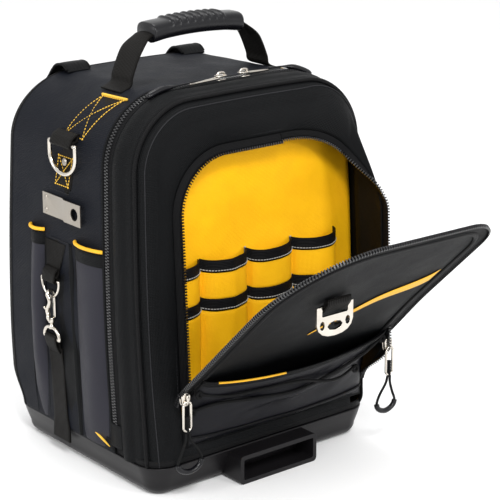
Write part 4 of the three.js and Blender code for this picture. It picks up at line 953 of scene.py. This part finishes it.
def make_side_webbing():
    start = WEBBING_FOOT + 13 + 2
    end = side_at(322)
    for side, name in ((-1, "left"), (1, "right")):
        rows = []
        for t in steps(50):
            middle, wide = webbing_at(t)
            a = side * lerp(start, end, t)
            rows.append([
                skin(a, middle + wide * w, 1.2 + 1.2 * cos(PI * w) ** 0.3)
                for w in steps(8, -0.5, 0.5)
            ])
        cloth_grid(
            f"side_webbing_{name}_strip", rows, WEB, thick=1.8, out=(side, 0, 0.4),
            replaces=(f"side_webbing_{name}",),
        )

        def on(t, w, lift=2.6):
            middle, wide = webbing_at(t)
            return skin(side * lerp(start, end, t), middle + wide * w, lift)

        normal = skin_normal(side * lerp(start, end, 0.3))
        cross = [[on(lerp(0.06, 0.5, k), lerp(-w, w, k)) for k in steps(12)] for w in (0.42, -0.42)]
        edges = [[on(t, w) for w in steps(10, -0.42, 0.42)] for t in (0.06, 0.5)]
        edges += [[on(t, w) for t in steps(20, 0.06, 0.5)] for w in (-0.42, 0.42)]
        for line in edges + cross:
            sew("amber", line, normal, 3.6)
        bar = [on(0.045, w, 3.2) for w in steps(14, -0.5, 0.5)]
        tube(f"bartack_{name}", bar, 1.5, THREAD, sides=7)
        low = [[on(t, w) for t in steps(14, 0.7, 0.97)] for w in (-0.36, 0.36)]
        low += [[on(t, w) for w in steps(9, -0.36, 0.36)] for t in (0.7, 0.97)]
        low += [[on(lerp(0.7, 0.97, k), lerp(-w, w, k)) for k in steps(12)] for w in (0.36, -0.36)]
        for line in low:
            sew("amber", line, V((side, 0, 0)), 3.6)


# Pieces copied from the CAD: same shape, with softened edges and smooth shading
def dressed(name, mat, body="bag", bevel=0.4, angle=40, pieces=2):
    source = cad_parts[name]
    made = bmesh.new()
    made.from_mesh(source.data)
    bmesh.ops.remove_doubles(made, verts=made.verts, dist=1e-5)
    bmesh.ops.dissolve_limit(made, angle_limit=math.radians(1.5), verts=made.verts, edges=made.edges)
    mesh = bpy.data.meshes.new(name + "_body")
    made.to_mesh(mesh)
    made.free()
    for polygon in mesh.polygons:
        polygon.use_smooth = True
    mesh.set_sharp_from_angle(angle=math.radians(angle))
    mesh.materials.clear()
    mesh.materials.append(mat)
    obj = bpy.data.objects.new(name + "_body", mesh)
    bpy.context.scene.collection.objects.link(obj)
    if bevel:
        soft = obj.modifiers.new("edges", "BEVEL")
        soft.width = bevel * MM
        soft.segments = pieces
        soft.limit_method = "ANGLE"
        soft.angle_limit = math.radians(angle)
        soft.harden_normals = False
    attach(obj, body)
    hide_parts(name)
    return obj


# Moulded tray
def tray_ring(inset, z, n=12):
    w, d = HALF_W + TRAY_LEDGE - inset, HALF_D + TRAY_LEDGE - inset
    r = max(EDGE_R_LOW + TRAY_LEDGE - inset, 8)
    ring = []
    for sx, sy, turn in ((1, 1, 0), (-1, 1, 1), (-1, -1, 2), (1, -1, 3)):
        for t in steps(n):
            angle = (turn + t) * PI / 2
            ring.append(V((sx * (w - r) + r * cos(angle), sy * (d - r) + r * sin(angle), z)))
    return ring


def make_tray():
    rows = [tray_ring(28, 0.0), tray_ring(21.6, 0.05)]
    for t in steps(9)[1:]:
        rows.append(tray_ring(7 + 14 * (1 - sin(t * PI / 2)), 14 * (1 - cos(t * PI / 2))))
    rows += [
        tray_ring(3.4, 24), tray_ring(0.3, 34.4), tray_ring(0.1, 35.2), tray_ring(0.5, 35.8),
        tray_ring(1.2, 36),
    ]
    rows += [tray_ring(3.0, 36), tray_ring(3.5, 35.4), tray_ring(9, 16), tray_ring(20, 3.6)]
    shell("tray_shell", rows, TRAY, replaces=("base_tray",))
    tape = []
    for z, out in ((35.5, -0.6), (38, 0.3), (43, 0.4), (45, -0.6)):
        ring = tray_ring(TRAY_LEDGE - out, z, 16)
        tape.append(ring + [ring[0]])
    cloth_grid("rim_tape", tape, BINDING, thick=1.0)
    dressed("latch_frame", TRAY, bevel=1.0, angle=30)


# Handle
def make_handle():
    foot = skin(WEBBING_FOOT, -25, 3.2)
    toe = skin(WEBBING_FOOT + 13, -25, 3.0)
    grip = GRIP_HALF

    def arch(x):
        return HANDLE_TOP - 12 - 4 * (x / grip) ** 2

    rows = [(toe.x, toe.z), (foot.x, foot.z + 1.2), (foot.x - 3, foot.z + 12)]
    rows += [(lerp(foot.x, grip, 0.4), lerp(foot.z, arch(grip), 0.66)), (grip + 8, arch(grip) - 4)]
    rows += [(t * grip, arch(t * grip)) for t in (1, 0.66, 0.33)] + [(0, arch(0))]
    points = [V((x, 0, z)) for x, z in rows] + [V((-x, 0, z)) for x, z in reversed(rows[:-1])]
    line = smooth_path(points, 110)
    y0 = depth(BAG_TOP) * -6
    sheet_rows = []
    for p in line:
        half = lerp(14, 19, ease(abs(p.x), grip + 4, grip + 22))
        cup = 2.4 * (1 - ease(abs(p.x), grip, grip + 26))
        sheet_rows.append([V((p.x, y0 + half * w, p.z + 1.0 - cup * w * w)) for w in steps(8, -1, 1)])
    cloth_grid("handle_strap", sheet_rows, WEB, thick=1.9, replaces=("handle_webbing",))
    section = []
    for k in range(28):
        angle = 2 * PI * k / 28
        c, s = cos(angle), sin(angle)
        section.append((17 * blunt(c, 0.6), 10.5 * blunt(s, 0.8)))
    rings = []
    xs = [-grip, -grip + 0.7] + steps(150, -grip + 1.6, grip - 1.6) + [grip - 0.7, grip]
    for x in xs:
        end = min(1, (grip - abs(x)) / 1.6)
        shrink = 0.93 + 0.07 * sqrt(max(0, 1 - (1 - end) ** 2))
        flank = 1 + 0.05 * ease(abs(x), 40, 60)
        phase = (x / 10 + 4) % 1
        ridge = 2.3 * bell(phase, 0.5, 0.17) if abs(x) < 40 else 0
        z0 = arch(x) - 0.4
        ring = []
        for y, h in section:
            lift = ridge * ease(h, 2.5, 8) if h > 0 else 0
            groove = -2.2 * math.exp(-((y / 2.2) ** 2)) * (1 if h < 0 else 0)
            ring.append(V((x, y0 + y * shrink * flank, z0 + h * shrink * flank + lift - groove)))
        rings.append(ring)
    shell("handle_grip_shell", rings, RUBBER, replaces=("handle_grip",))


# Metal
def ring_bar(name):
    """The middle of a ring's upper bar."""
    box0, box1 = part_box(name)
    return (box0.x + box1.x) / 2 / MM, (box0.y + box1.y) / 2 / MM, box1.z / MM - RING_WIRE


def make_rings():
    x, y, top = ring_bar("d_ring")
    r = RING_WIRE
    corner = 22.5 + r
    path = [
        V((x, y - corner + 1.2, top)), V((x, y - 9, top)), V((x, y + 9, top)),
        V((x, y + corner - 1.2, top)),
    ]
    path.append(V((x, y + corner, top - 2)))
    for t in steps(14):
        angle = t * PI
        path.append(V((x, y + corner * cos(angle), top - 13 - 21 * sin(angle))))
    path.append(V((x, y - corner, top - 2)))
    tube(
        "d_ring_wire", smooth_path(path, 120, True), r, NICKEL, sides=14, body="d_ring",
        closed=True, replaces=("d_ring",),
    )
    dressed("accessory_ring", NICKEL, body="accessory_ring", bevel=0.9, angle=30, pieces=3)
    rivet = V((-HALF_W - 4.6, 10.5, 354))
    dome("webbing_rivet", rivet, V((-1, 0, 0.15)).normalized(), 4.6, 1.8, DULL_NICKEL)
    dressed("belt_clip", DULL_NICKEL, bevel=0.35, angle=35)
    x, y, z = hook_bar()
    ring = [V((x, y - 15.5, z)), V((x, y, z)), V((x, y + 15.5, z))]
    for t in steps(16):
        ring.append(V((x, y + 17 * cos(PI * t), z - 2 - 18 * sin(PI * t))))
    tube(
        "hook_ring_wire", smooth_path(ring, 90, True), 1.6, NICKEL,
        sides=12, up=V((1, 0, 0)), closed=True, replaces=("hook_ring",),
    )
    make_snap_hook(x, y)


def hook_bar():
    box0, box1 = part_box("hook_ring")
    c = (box0 + box1) / 2 / MM
    return c.x, c.y, HOOK_BAR_Z


def dome(name, place, out, radius, high, mat):
    guide = V((0, 0, 1)) if abs(out.z) < 0.9 else V((0, 1, 0))
    u = out.cross(guide).normalized()
    w = out.cross(u)
    rings = []
    for t in steps(6):
        angle = t * PI / 2 * 0.97
        r, h = radius * cos(angle), high * sin(angle)
        rings.append([
            place + out * h + u * r * cos(k * PI / 9) + w * r * sin(k * PI / 9)
            for k in range(18)
        ])
    return shell(name, rings, mat)


def turned(name, place, profile, mat):
    """A form turned round the vertical through a place; rows of radius and height."""
    rings = [
        [place + V((r * cos(k * PI / 10), r * sin(k * PI / 10), h)) for k in range(20)]
        for r, h in profile
    ]
    return shell(name, rings, mat)


def make_snap_hook(x, y):
    hook_top = HOOK_BAR_Z - 20 + 1.6 + 4 + 0.3
    low = STRAP_LOOP_Z + 20
    reach = 4.5
    top, foot = hook_top - reach, low + reach
    arc = steps(9, 0, PI)
    crook = [V((x + reach * cos(a), y + 1.5 * sin(a), top + reach * sin(a))) for a in arc]
    spine = [
        V((x - reach + 1.6 * t, y - 3.4 * sin(2 * PI * t), lerp(top, foot, t)))
        for t in steps(8)[1:-1]
    ]
    hook = [V((x + reach * cos(a), y, foot + reach * sin(a))) for a in steps(9, PI, 2 * PI)]
    gate = [V((x + reach, y, lerp(foot, top, t))) for t in steps(5)[1:-1]]
    route = smooth_path(crook + spine + hook + gate, 90, True)
    tube(
        "snap_hook_body", route, lambda t: 1.9 + 0.5 * sin(PI * t), NICKEL, sides=12, closed=True,
        replaces=("snap_hook",),
    )
    barrel = [(0.2, 0), (3.0, 0), (3.6, 0.6), (3.6, 3.4), (2.9, 4.2), (2.3, 5)]
    barrel += [(2.3, 7), (3.6, 7.6), (4.3, 8.4), (4.3, 13), (3.4, 14), (0.2, 14)]
    turned("snap_hook_swivel", V((x, y, low - 10)), barrel, NICKEL)
    half = 12.5
    corners = ((-half - 2.4, 0), (-8, 0), (8, 0), (half + 2.4, 0), (half, 7), (6, 11), (-6, 11), (-half, 7))
    eye = [V((x, y + across, STRAP_LOOP_Z + up)) for across, up in corners]
    tube("snap_hook_eye", smooth_path(eye, 90, True), 2.3, NICKEL, sides=12, closed=True, up=V((1, 0, 0)))
    thumb = [
        V((x - 3.4, y + 2.4, low + 13)), V((x - 5.4, y + 4.2, low + 14)),
        V((x - 6.4, y + 5.2, low + 16.5)),
    ]
    tube("snap_hook_thumb", smooth_path(thumb, 12), 1.2, NICKEL, sides=8)


def fold_loop(name, centre, out, up, width, inner, stand, tail, replaces=(), thick=1.8):
    """Webbing folded round a bar, with both ends together on the cloth behind it."""
    across = out.cross(up).normalized()
    r = inner + thick / 2
    line = [(-stand + 2.6, tail), (r * 0.55, r * 2.2)]
    line += [(r * cos(a), -r * sin(a)) for a in steps(14, 0.25, 2 * PI - 1.9)]
    line += [(-stand + 0.9, r * 1.6), (-stand + 0.7, tail)]
    points = smooth_path([centre + out * p + up * q for p, q in line], 64)
    rows = [[p + across * w for w in steps(8, -width / 2, width / 2)] for p in points]
    return cloth_grid(name, rows, WEB, thick=thick, replaces=replaces)


def make_left_side():
    x, y, top = ring_bar("d_ring")
    up = (skin(15 - side_at(374), 12) - skin(-side_at(374), 12)).normalized()
    up.y = 0
    up.normalize()
    out = V((-up.z, 0, up.x))
    fold_loop("d_ring_strap", V((x, y, top)), out, up, 39, 3.0, 6.6, 15, ("d_ring_loop",))
    rows = []
    for z in steps(26, 322, 256):
        a = -side_at(z)
        rows.append([skin(a, 25.8 + 21.8 * w, 1.0 + 0.9 * cos(PI * w / 2) ** 0.3) for w in steps(8, -1, 1)])
    cloth_grid("clip_strap", rows, WEB, thick=1.8, out=(-1, 0, 0), replaces=("clip_webbing",))
    for z in (262, 318):
        line = [skin(-side_at(z), 25.8 + 19 * w, 2.6) for w in steps(12, -1, 1)]
        sew("dark", line, V((-1, 0, 0)), 3.4)


def make_hook_webbing():
    c = V(hook_bar())
    fold_loop("hook_tab_loop", c, V((-1, 0, 0)), V((0, 0, 1)), 24, 3.1, 5.4, 14)
    rows = []
    for t in steps(24):
        z = lerp(226, 259, t)
        share = lerp(0.48, 0.86, t)
        back, front = 25 * (share - (share - 0.5) * 0.35), -25 * (share + (share - 0.5) * 0.35)
        on = skin(-side_at(z), 0, 1.4).x
        lift = 1.2 + 1.4 * (1 - ease(t, 0, 0.6))
        rows.append([V((on - lift, c.y + lerp(front, back, k), z)) for k in steps(8)])
    cloth_grid("hook_tab_strap", rows, WEB, thick=2.0, out=(-1, 0, 0), replaces=("hook_tab",))
    stand = 2.4 + 0.6 + 2
    fold_loop(
        "lower_strap_loop", V((c.x, c.y, STRAP_LOOP_Z)), V((-1, 0, 0)), V((0, 0, -1)), 21, 3.0,
        stand, 18,
    )
    rows = []
    for z in steps(60, 134, 20):
        on = skin(-side_at(max(z, RIM)), 39, 2.4).x
        edge = -HALF_W - 1.5 - 0.3 - 2.2
        face = lerp(min(on, edge) - 0.2, c.x + stand - 1, ease(z, 104, 132))
        lean = -1.2 * sin(PI * ease(z, 30, 120))
        flare_out = 1 + 0.25 * ease(60 - z, 0, 40)
        rows.append([
            V((face + lean, c.y + k * 13.5 * flare_out - 1.5 * sin(z / 26), z))
            for k in steps(8, -1, 1)
        ])
    cloth_grid("lower_strap_band", rows, WEB, thick=2.0, out=(-1, 0, 0), replaces=("lower_strap",))


def make_side_trim():
    fold = []
    for z in steps(50, RIM + 2, 262):
        a = -side_at(z)
        lean = lerp(-10, -3, (z - 38) / 224)
        row = []
        for t in steps(8):
            s = lean + lerp(0, 46, t)
            ridge = 3.4 * bell(t, 0.1, 0.09) + 1.0 * sin(PI * t)
            row.append(skin(a, s, 0.9 + ridge + 0.8 * wobble(0, s, z, 40, 41) * sin(PI * t)))
        fold.append(row)
    cloth_grid("side_gusset", fold, BLACK, thick=1.2, out=(-1, 0, 0))
    tag = []
    for u in steps(10):
        s = lerp(-22, -70, u)
        z = lerp(56, 43, u)
        tag.append([skin(-side_at(z + h), s, 2.2 + 0.8 * sin(PI * u)) for h in steps(4, -6, 7)])
    cloth_grid("side_tag", tag, BLACK, thick=1.4, out=(-1, 0, 0))
    line = [skin(-side_at(lerp(56, 43, u) + 0.5), lerp(-28, -64, u), 4.6) for u in steps(20)]
    tube(
        "side_tag_line", line, lambda t: 1.3 * sin(PI * min(1, max(0.06, t))) ** 0.6 + 0.15, THREAD,
        sides=6,
    )
    for name, side in (("left", -1), ("right", 1)):
        garage = []
        for z in steps(12, 46, 74):
            rise = [2.4 + 1.6 * sin(PI * (s + 90) / 26) for s in steps(8, -88, -64)]
            garage.append([skin(side * side_at(z), s, lift) for s, lift in zip(steps(8, -88, -64), rise)])
        cloth_grid(f"zipper_garage_{name}", garage, BLACK, thick=1.2, out=(side, 0, 0))


def make_side_pockets():
    rows_of = (
        ("side_pocket_front", -66, -8, -1, True, 51),
        ("side_pocket_rear", 59, 85, -1, True, 52),
        ("side_pocket_right", -66, 100, 1, False, 53),
    )
    for name, s0, s1, side, piped, seed in rows_of:
        def at(u, v, lift=0.0):
            z = lerp(RIM + 2, POCKET_TOP, v)
            rise = 9 * sin(PI * u) ** 0.7 * sin(PI * (0.1 + 0.6 * v)) if 0 < u < 1 else 0
            s = lerp(s0, s1, u)
            fold = 1.4 * sin((s + z * 0.75) / 24 + 1.3 * wobble(0, s, z, 60, seed))
            fold += 1.3 * wobble(0, s, z, 44, seed + 1)
            return skin(side * side_at(z), s, 0.7 + max(0, rise + fold * sin(PI * u) ** 0.6) + lift)

        rows = [[at(u, v) for u in steps(30)] for v in steps(70)]
        cloth_grid(name + "_cloth", rows, GREY, thick=1.4, out=(side, 0, 0), replaces=(name,))
        for u in (0.0, 1.0):
            seam = [at(u, v, 0.9) for v in steps(50)]
            tube(f"{name}_seam_{int(u)}", seam, 1.1, BINDING, sides=6)
        if not piped:
            hem = [[at(u, v, 1.2) for u in steps(30)] for v in (0.955, 0.97, 0.985, 1.0)]
            cloth_grid(name + "_hem", hem, BINDING, thick=1.0, out=(side, 0, 0))
            continue
        rim = [at(u, 1.0, 1.7) + V((0, 0, 2.1)) for u in steps(40)]
        tube(name + "_edge", rim, 2.1, PIPING, sides=9, replaces=(name + "_piping",))
        hem = [[at(u, v, 1.0) for u in steps(30)] for v in (0.93, 0.95, 0.975, 0.998)]
        cloth_grid(name + "_hem", hem, BLACK, thick=1.0, out=(side, 0, 0))


# Ring on the flap, stripe and the pocket's cord ends
def make_flap_fittings():
    pivot = V(ring_bar("accessory_ring"))
    out = flap_normal(244)
    up = V((0, out.z, -out.y))
    fold_loop("accessory_strap", pivot, out, up, 32.7, 3.0, 4.6, 13, ("accessory_loop",))
    stripe = []
    for k in steps(40):
        x = lerp(-11, 116, k)
        t = lerp(166, 248, k)
        half = 1.5 + 11 * k ** 0.8
        x = min(x, flap_edges(t)[1] - 14)
        stripe.append([flap_point(x, t + h, flap_wave(x, t + h) + 1.3) for h in steps(6, -half, half)])
    cloth_grid("flap_stripe", stripe, PIPING, thick=0.3, out=(0, -1, -1))
    loop = []
    for a in steps(23, 0, 2 * PI):
        loop.append(flap_point(14 + 7 * sin(a), 196 + 13 * cos(a), 4.5 + 3.0 * cos(a * 0.5)))
    tube("flap_cord_loop", loop, 1.9, CORD, sides=8)
    for name, u, v in (
        ("lower", 0.985, 0.93), ("upper", 0.9, 0.46), ("left", 0.012, 0.42),
        ("left_top", 0.015, 0.8),
    ):
        p = pocket_point(u, v, 3.0)
        n = flap_normal(lerp(3, POCKET_L, v))
        knot = [p + n * 0.6 + V((3.4 * cos(a), 0, 3.4 * sin(a))) for a in steps(15, 0, 2 * PI * 15 / 16)]
        tube(f"bungee_knot_{name}", knot, 2.1, CORD, sides=8, closed=True)


# Zipper sliders and pulls
PULLS = (("left", -127.0, -157.0, 120.0, 46, 3, 16), ("right", 146.0, -181.2, 126.0, 42, -4, 14))


def cord_route(x, y, z, cord, lean, sleeve):
    top = z - 2 - 34 - 1.5 - 0.3
    low = top - cord
    middle = x + lean
    y -= 2

    def strand(sign):
        return [
            V((x + 2 * sign, y, top)),
            V((lerp(x, middle, 0.3) + 3.4 * sign, y, top - cord * 0.2)),
            V((middle + 0.72 * sleeve * sign, y, top - cord * 0.5)),
            V((middle + sleeve * sign, y, top - cord * 0.75)),
            V((middle + 0.72 * sleeve * sign, y, low + cord * 0.08)),
        ]

    return strand(-1) + [V((middle, y, low))] + list(reversed(strand(1)))


def make_pulls():
    for name, x, y, z, cord, lean, sleeve in PULLS:
        route = smooth_path(cord_route(x, y, z, cord, lean, sleeve), 36)
        rope = tube(f"pull_cord_{name}_rope", route, 1.5, CORD, sides=10, replaces=(f"pull_cord_{name}",))
        cover = route[11:26]
        hose = tube(
            f"pull_sleeve_{name}_hose", smooth_path(cover, 40), 3.1, RUBBER, sides=12,
            replaces=(f"pull_sleeve_{name}",),
        )
        ring_top = z - 2
        half = 5.0
        loop = []
        for a in steps(10, 0, PI):
            loop.append(V((x + half * cos(a), y - 2, ring_top - half + half * sin(a))))
        for a in steps(10, PI, 2 * PI):
            loop.append(V((x + half * cos(a), y - 2, ring_top - 34 + half + half * sin(a))))
        tube(
            f"pull_ring_{name}", smooth_path(loop, 64, True), 1.45, NICKEL, sides=12, closed=True,
            replaces=(f"pull_{name}",),
        )
        slider(f"pull_slider_{name}", V((x, y + 2, z)), V((0, 0, 1)), V((0, -1, 0)), long=16, wide=11)
        wrap = [V((x, y - 2, ring_top - t)) for t in steps(20, 17, 36)]
        tube(f"pull_wrap_{name}", wrap, lambda t: 2.2 + 0.45 * sin(t * 60), CORD, sides=10)


def slider(name, place, along, out, long=13, wide=8):
    """A slider's cast body: two plates, with a bridge for the pull."""
    side = along.cross(out).normalized()
    for part, lift, high in (("front", 2.0, 1.6), ("back", -2.0, 1.4)):
        rings = []
        for h, shrink in ((-high / 2, 0.86), (-high / 4, 1), (high / 4, 1), (high / 2, 0.86)):
            ring = []
            for k in range(28):
                a = 2 * PI * k / 28
                c, s = cos(a), sin(a)
                wing = 1 + 0.22 * blunt(c, 0.5) * (1 if c > 0 else 0.3)
                u = long / 2 * blunt(c, 0.7)
                w = wide / 2 * blunt(s, 0.7) * wing
                ring.append(place + along * u * shrink + side * w * shrink + out * (lift + h))
            rings.append(ring)
        shell(f"{name}_{part}", rings, NICKEL)
    bridge = [
        place + along * u + out * h
        for u, h in ((-5, 2.4), (-4.2, 4.6), (0, 5.6), (4.2, 4.6), (5, 2.4))
    ]
    tube(f"{name}_bridge", smooth_path(bridge, 24), 1.3, NICKEL, sides=9)


MAIN_PULLS = (("left", -5, (-15, -53), -111, -84), ("right", 27, (37, 67), 124, -70))


def make_main_pulls():
    for name, place, rod, tab_end, s in MAIN_PULLS:
        sign = -1 if place < 0 else 1
        slider(f"main_slider_{name}", skin(place, ZIP_S, 4.6), V((sign, 0, 0)), V((0, 0, 1)), long=15)
        start = skin(place + sign * 4, ZIP_S, 5.6)
        path = [start, skin(rod[0], lerp(ZIP_S, s, 0.5), 5.2), skin(rod[1], s, 4.2)]
        wire = smooth_path(path, 30)
        side = [p + V((0, 2.2 * sin(PI * min(1, i / 26)), 0)) for i, p in enumerate(wire)]
        other = [p - V((0, 2.2 * sin(PI * min(1, i / 26)), 0)) for i, p in enumerate(wire)]
        tube(
            f"main_pull_rod_{name}", side + list(reversed(other)), 1.0, NICKEL, sides=9,
            replaces=(f"main_pull_{name}",),
        )
        reach = [skin(lerp(rod[1] + sign * 0.6, tab_end, t), s - 5 * t, 6.0) for t in steps(30)]
        tube(
            f"main_tab_{name}", reach, lambda t: 1.2 + 2.2 * ease(
                t, 0.3, 0.6,
            ) - 1.0 * ease(t, 0.94, 1), RUBBER,
            sides=12, replaces=(f"main_pull_tab_{name}",),
        )


# Back
STRAP_ROWS = (
    (0.995, 0.52, -40, 0.5, 0.35), (1.012, 0.52, -30, 0.5, 0.35), (
        1.009, 0.52, -16, 0.5, 0.35,
    ), (0.992, 0.52, -7, 0.5, 0.35),
    (0.967, 0.52, 2, 0.5, 0.4), (0.93, 0.53, 9, 0.7, 0.7), (0.88, 0.54, 17, 1, 1), (
        0.78, 0.57, 25, 1, 1,
    ), (0.64, 0.62, 28, 1, 1),
    (0.51, 0.67, 26, 0.9, 1), (0.42, 0.7, 22, 0.76, 0.9), (0.37, 0.71, 19, 0.66, 0.8),
)


def make_back():
    rows = []
    for v in steps(70):
        z = lerp(PAD_BOTTOM, PAD_TOP, v)
        row = []
        for u in steps(44):
            crown = max(0.0, sin(PI * u) * sin(PI * v)) ** 0.25
            channel = 0
            for line in (0.2, 0.4, 0.6, 0.8):
                channel = max(channel, bell(v, line, 0.014))
            spine = bell(u, 0.5, 0.03)
            high = 12 * max(0.1, crown) * (1 - 0.5 * max(channel, spine)) + 0.5 * wobble(
                u * 170, 0, z, 40, 61,
            )
            row.append(V((lerp(-PAD_HALF_W, PAD_HALF_W, u), back_y(z) + 0.4 + high, z)))
        rows.append(row)
    pad = cloth_grid("back_cushion", rows, SHADE, thick=6.0, replaces=("back_pad",))
    border = [rows[0][0]] + [r[0] for r in rows[1:]] + rows[-1][1:] + [
        r[-1]
        for r in reversed(rows[:-1])
    ] + list(reversed(rows[0][1:-1]))
    tube("back_cushion_piping", border, 1.8, BINDING, sides=8, closed=True)


def make_straps():
    for side, name in ((-1, "left"), (1, "right")):
        middle = [
            V((side * across * HALF_W, back_y(min(h * BAG_TOP, BAG_TOP)) + out, h * BAG_TOP))
            for h, across, out, _, _ in STRAP_ROWS
        ]
        line = smooth_path(middle, 70)
        sizes = smooth_path([V((w, t, 0)) for *_, w, t in STRAP_ROWS], 70)
        rings = []
        for i, p in enumerate(line):
            q0, q1 = line[max(0, i - 1)], line[min(len(line) - 1, i + 1)]
            along = (q1 - q0).normalized()
            across = (V((1, 0, 0)) - along * along.x).normalized()
            out = along.cross(across)
            half = STRAP_W / 2 * sizes[i].x
            ring = []
            for k in range(24):
                a = 2 * PI * k / 24
                c, s = cos(a), sin(a)
                w = half * blunt(c, 0.6)
                h = STRAP_T / 2 * sizes[i].y * blunt(s, 0.75)
                h *= 1 + 0.06 * wobble(p.x + w, p.y, p.z, 30, 63)
                ring.append(p + across * w + out * h)
            rings.append(ring)
        strap = shell(
            f"strap_pad_{name}", rings, BLACK, uvs=ring_uvs(rings),
            replaces=(f"shoulder_strap_{name}",),
        )
        for edge in (0, 12):
            seam = [ring[edge] for ring in rings[2:-2]]
            tube(f"strap_binding_{name}_{edge}", seam, 1.5, BINDING, sides=7)
        end = middle[-1]
        buckle_z = end.z - 2.5 - 13
        dressed(f"strap_buckle_{name}", RUBBER, bevel=0.6, angle=35)
        foot_z = RIM + 44
        path = [
            V((end.x, end.y + 4.8, buckle_z + 3)), V((end.x, end.y + 4.6, buckle_z - 5)),
            V((end.x, end.y + 0.6, buckle_z - 26)),
            V((end.x + side * 4, back_y(foot_z) + 1.2, foot_z)),
        ]
        rows = [
            [p + V((w, 0, 0)) for w in steps(8, -WEBBING_W / 2, WEBBING_W / 2)]
            for p in smooth_path(path, 40)
        ]
        cloth_grid(f"strap_band_{name}", rows, WEB, thick=1.8, replaces=(f"strap_webbing_{name}",))


# Light and floor
def make_light():
    bpy.context.scene.view_settings.view_transform = "Standard"
    world = bpy.data.worlds.new("studio")
    bpy.context.scene.world = world
    world.use_nodes = True
    world.node_tree.nodes["Background"].inputs["Color"].default_value = (1, 1, 1, 1)
    world.node_tree.nodes["Background"].inputs["Strength"].default_value = 1.0
    lamps = (
        ("key", (-0.9, -1.9, 2.1), 0.6, 46.0),
        ("front", (0.7, -2.4, 1.1), 0.5, 16.0),
        ("side", (-2.1, 0.5, 1.1), 0.8, 14.0),
        ("top", (0.2, 0.5, 2.4), 0.9, 16.0),
    )
    for name, where, size, power in lamps:
        data = bpy.data.lights.new(name, "AREA")
        data.size = size
        data.energy = power
        lamp = bpy.data.objects.new(name, data)
        lamp.location = where
        lamp.rotation_euler = (V((0, 0, 0.2)) - V(where)).to_track_quat("-Z", "Y").to_euler()
        bpy.context.scene.collection.objects.link(lamp)
    mat, tree, bsdf = shader("floor", (0.9, 0.9, 0.9), 0.8)
    cloud = node(tree, "ShaderNodeTexNoise", Scale=3.0)
    tree.links.new(coords(tree, False), cloud.inputs["Vector"])
    bump(tree, bsdf, cloud.outputs["Fac"], 0.02, 0.0005)
    mesh = bpy.data.meshes.new("floor")
    mesh.from_pydata([(-6, -6, 0), (6, -6, 0), (6, 6, 0), (-6, 6, 0)], [], [(0, 1, 2, 3)])
    floor = bpy.data.objects.new("floor", mesh)
    floor.data.materials.append(mat)
    bpy.context.scene.collection.objects.link(floor)


def make_stitches():
    for color, mat in (("amber", THREAD), ("pale", PALE), ("dark", DARK_THREAD)):
        blocks(f"stitches_{color}", STITCHES[color], (1.35, 0.5, 0.6), mat, taper=0.6)


make_pulls()
make_front()
make_rear()
make_main_zipper()
make_pocket_zippers()
make_organizer()
make_flap()
make_flap_pocket()
make_bungees()
make_side_webbing()
make_tray()
make_handle()
make_rings()
make_left_side()
make_hook_webbing()
make_side_trim()
make_side_pockets()
make_flap_fittings()
make_main_pulls()
make_back()
make_straps()
make_stitches()
make_light()
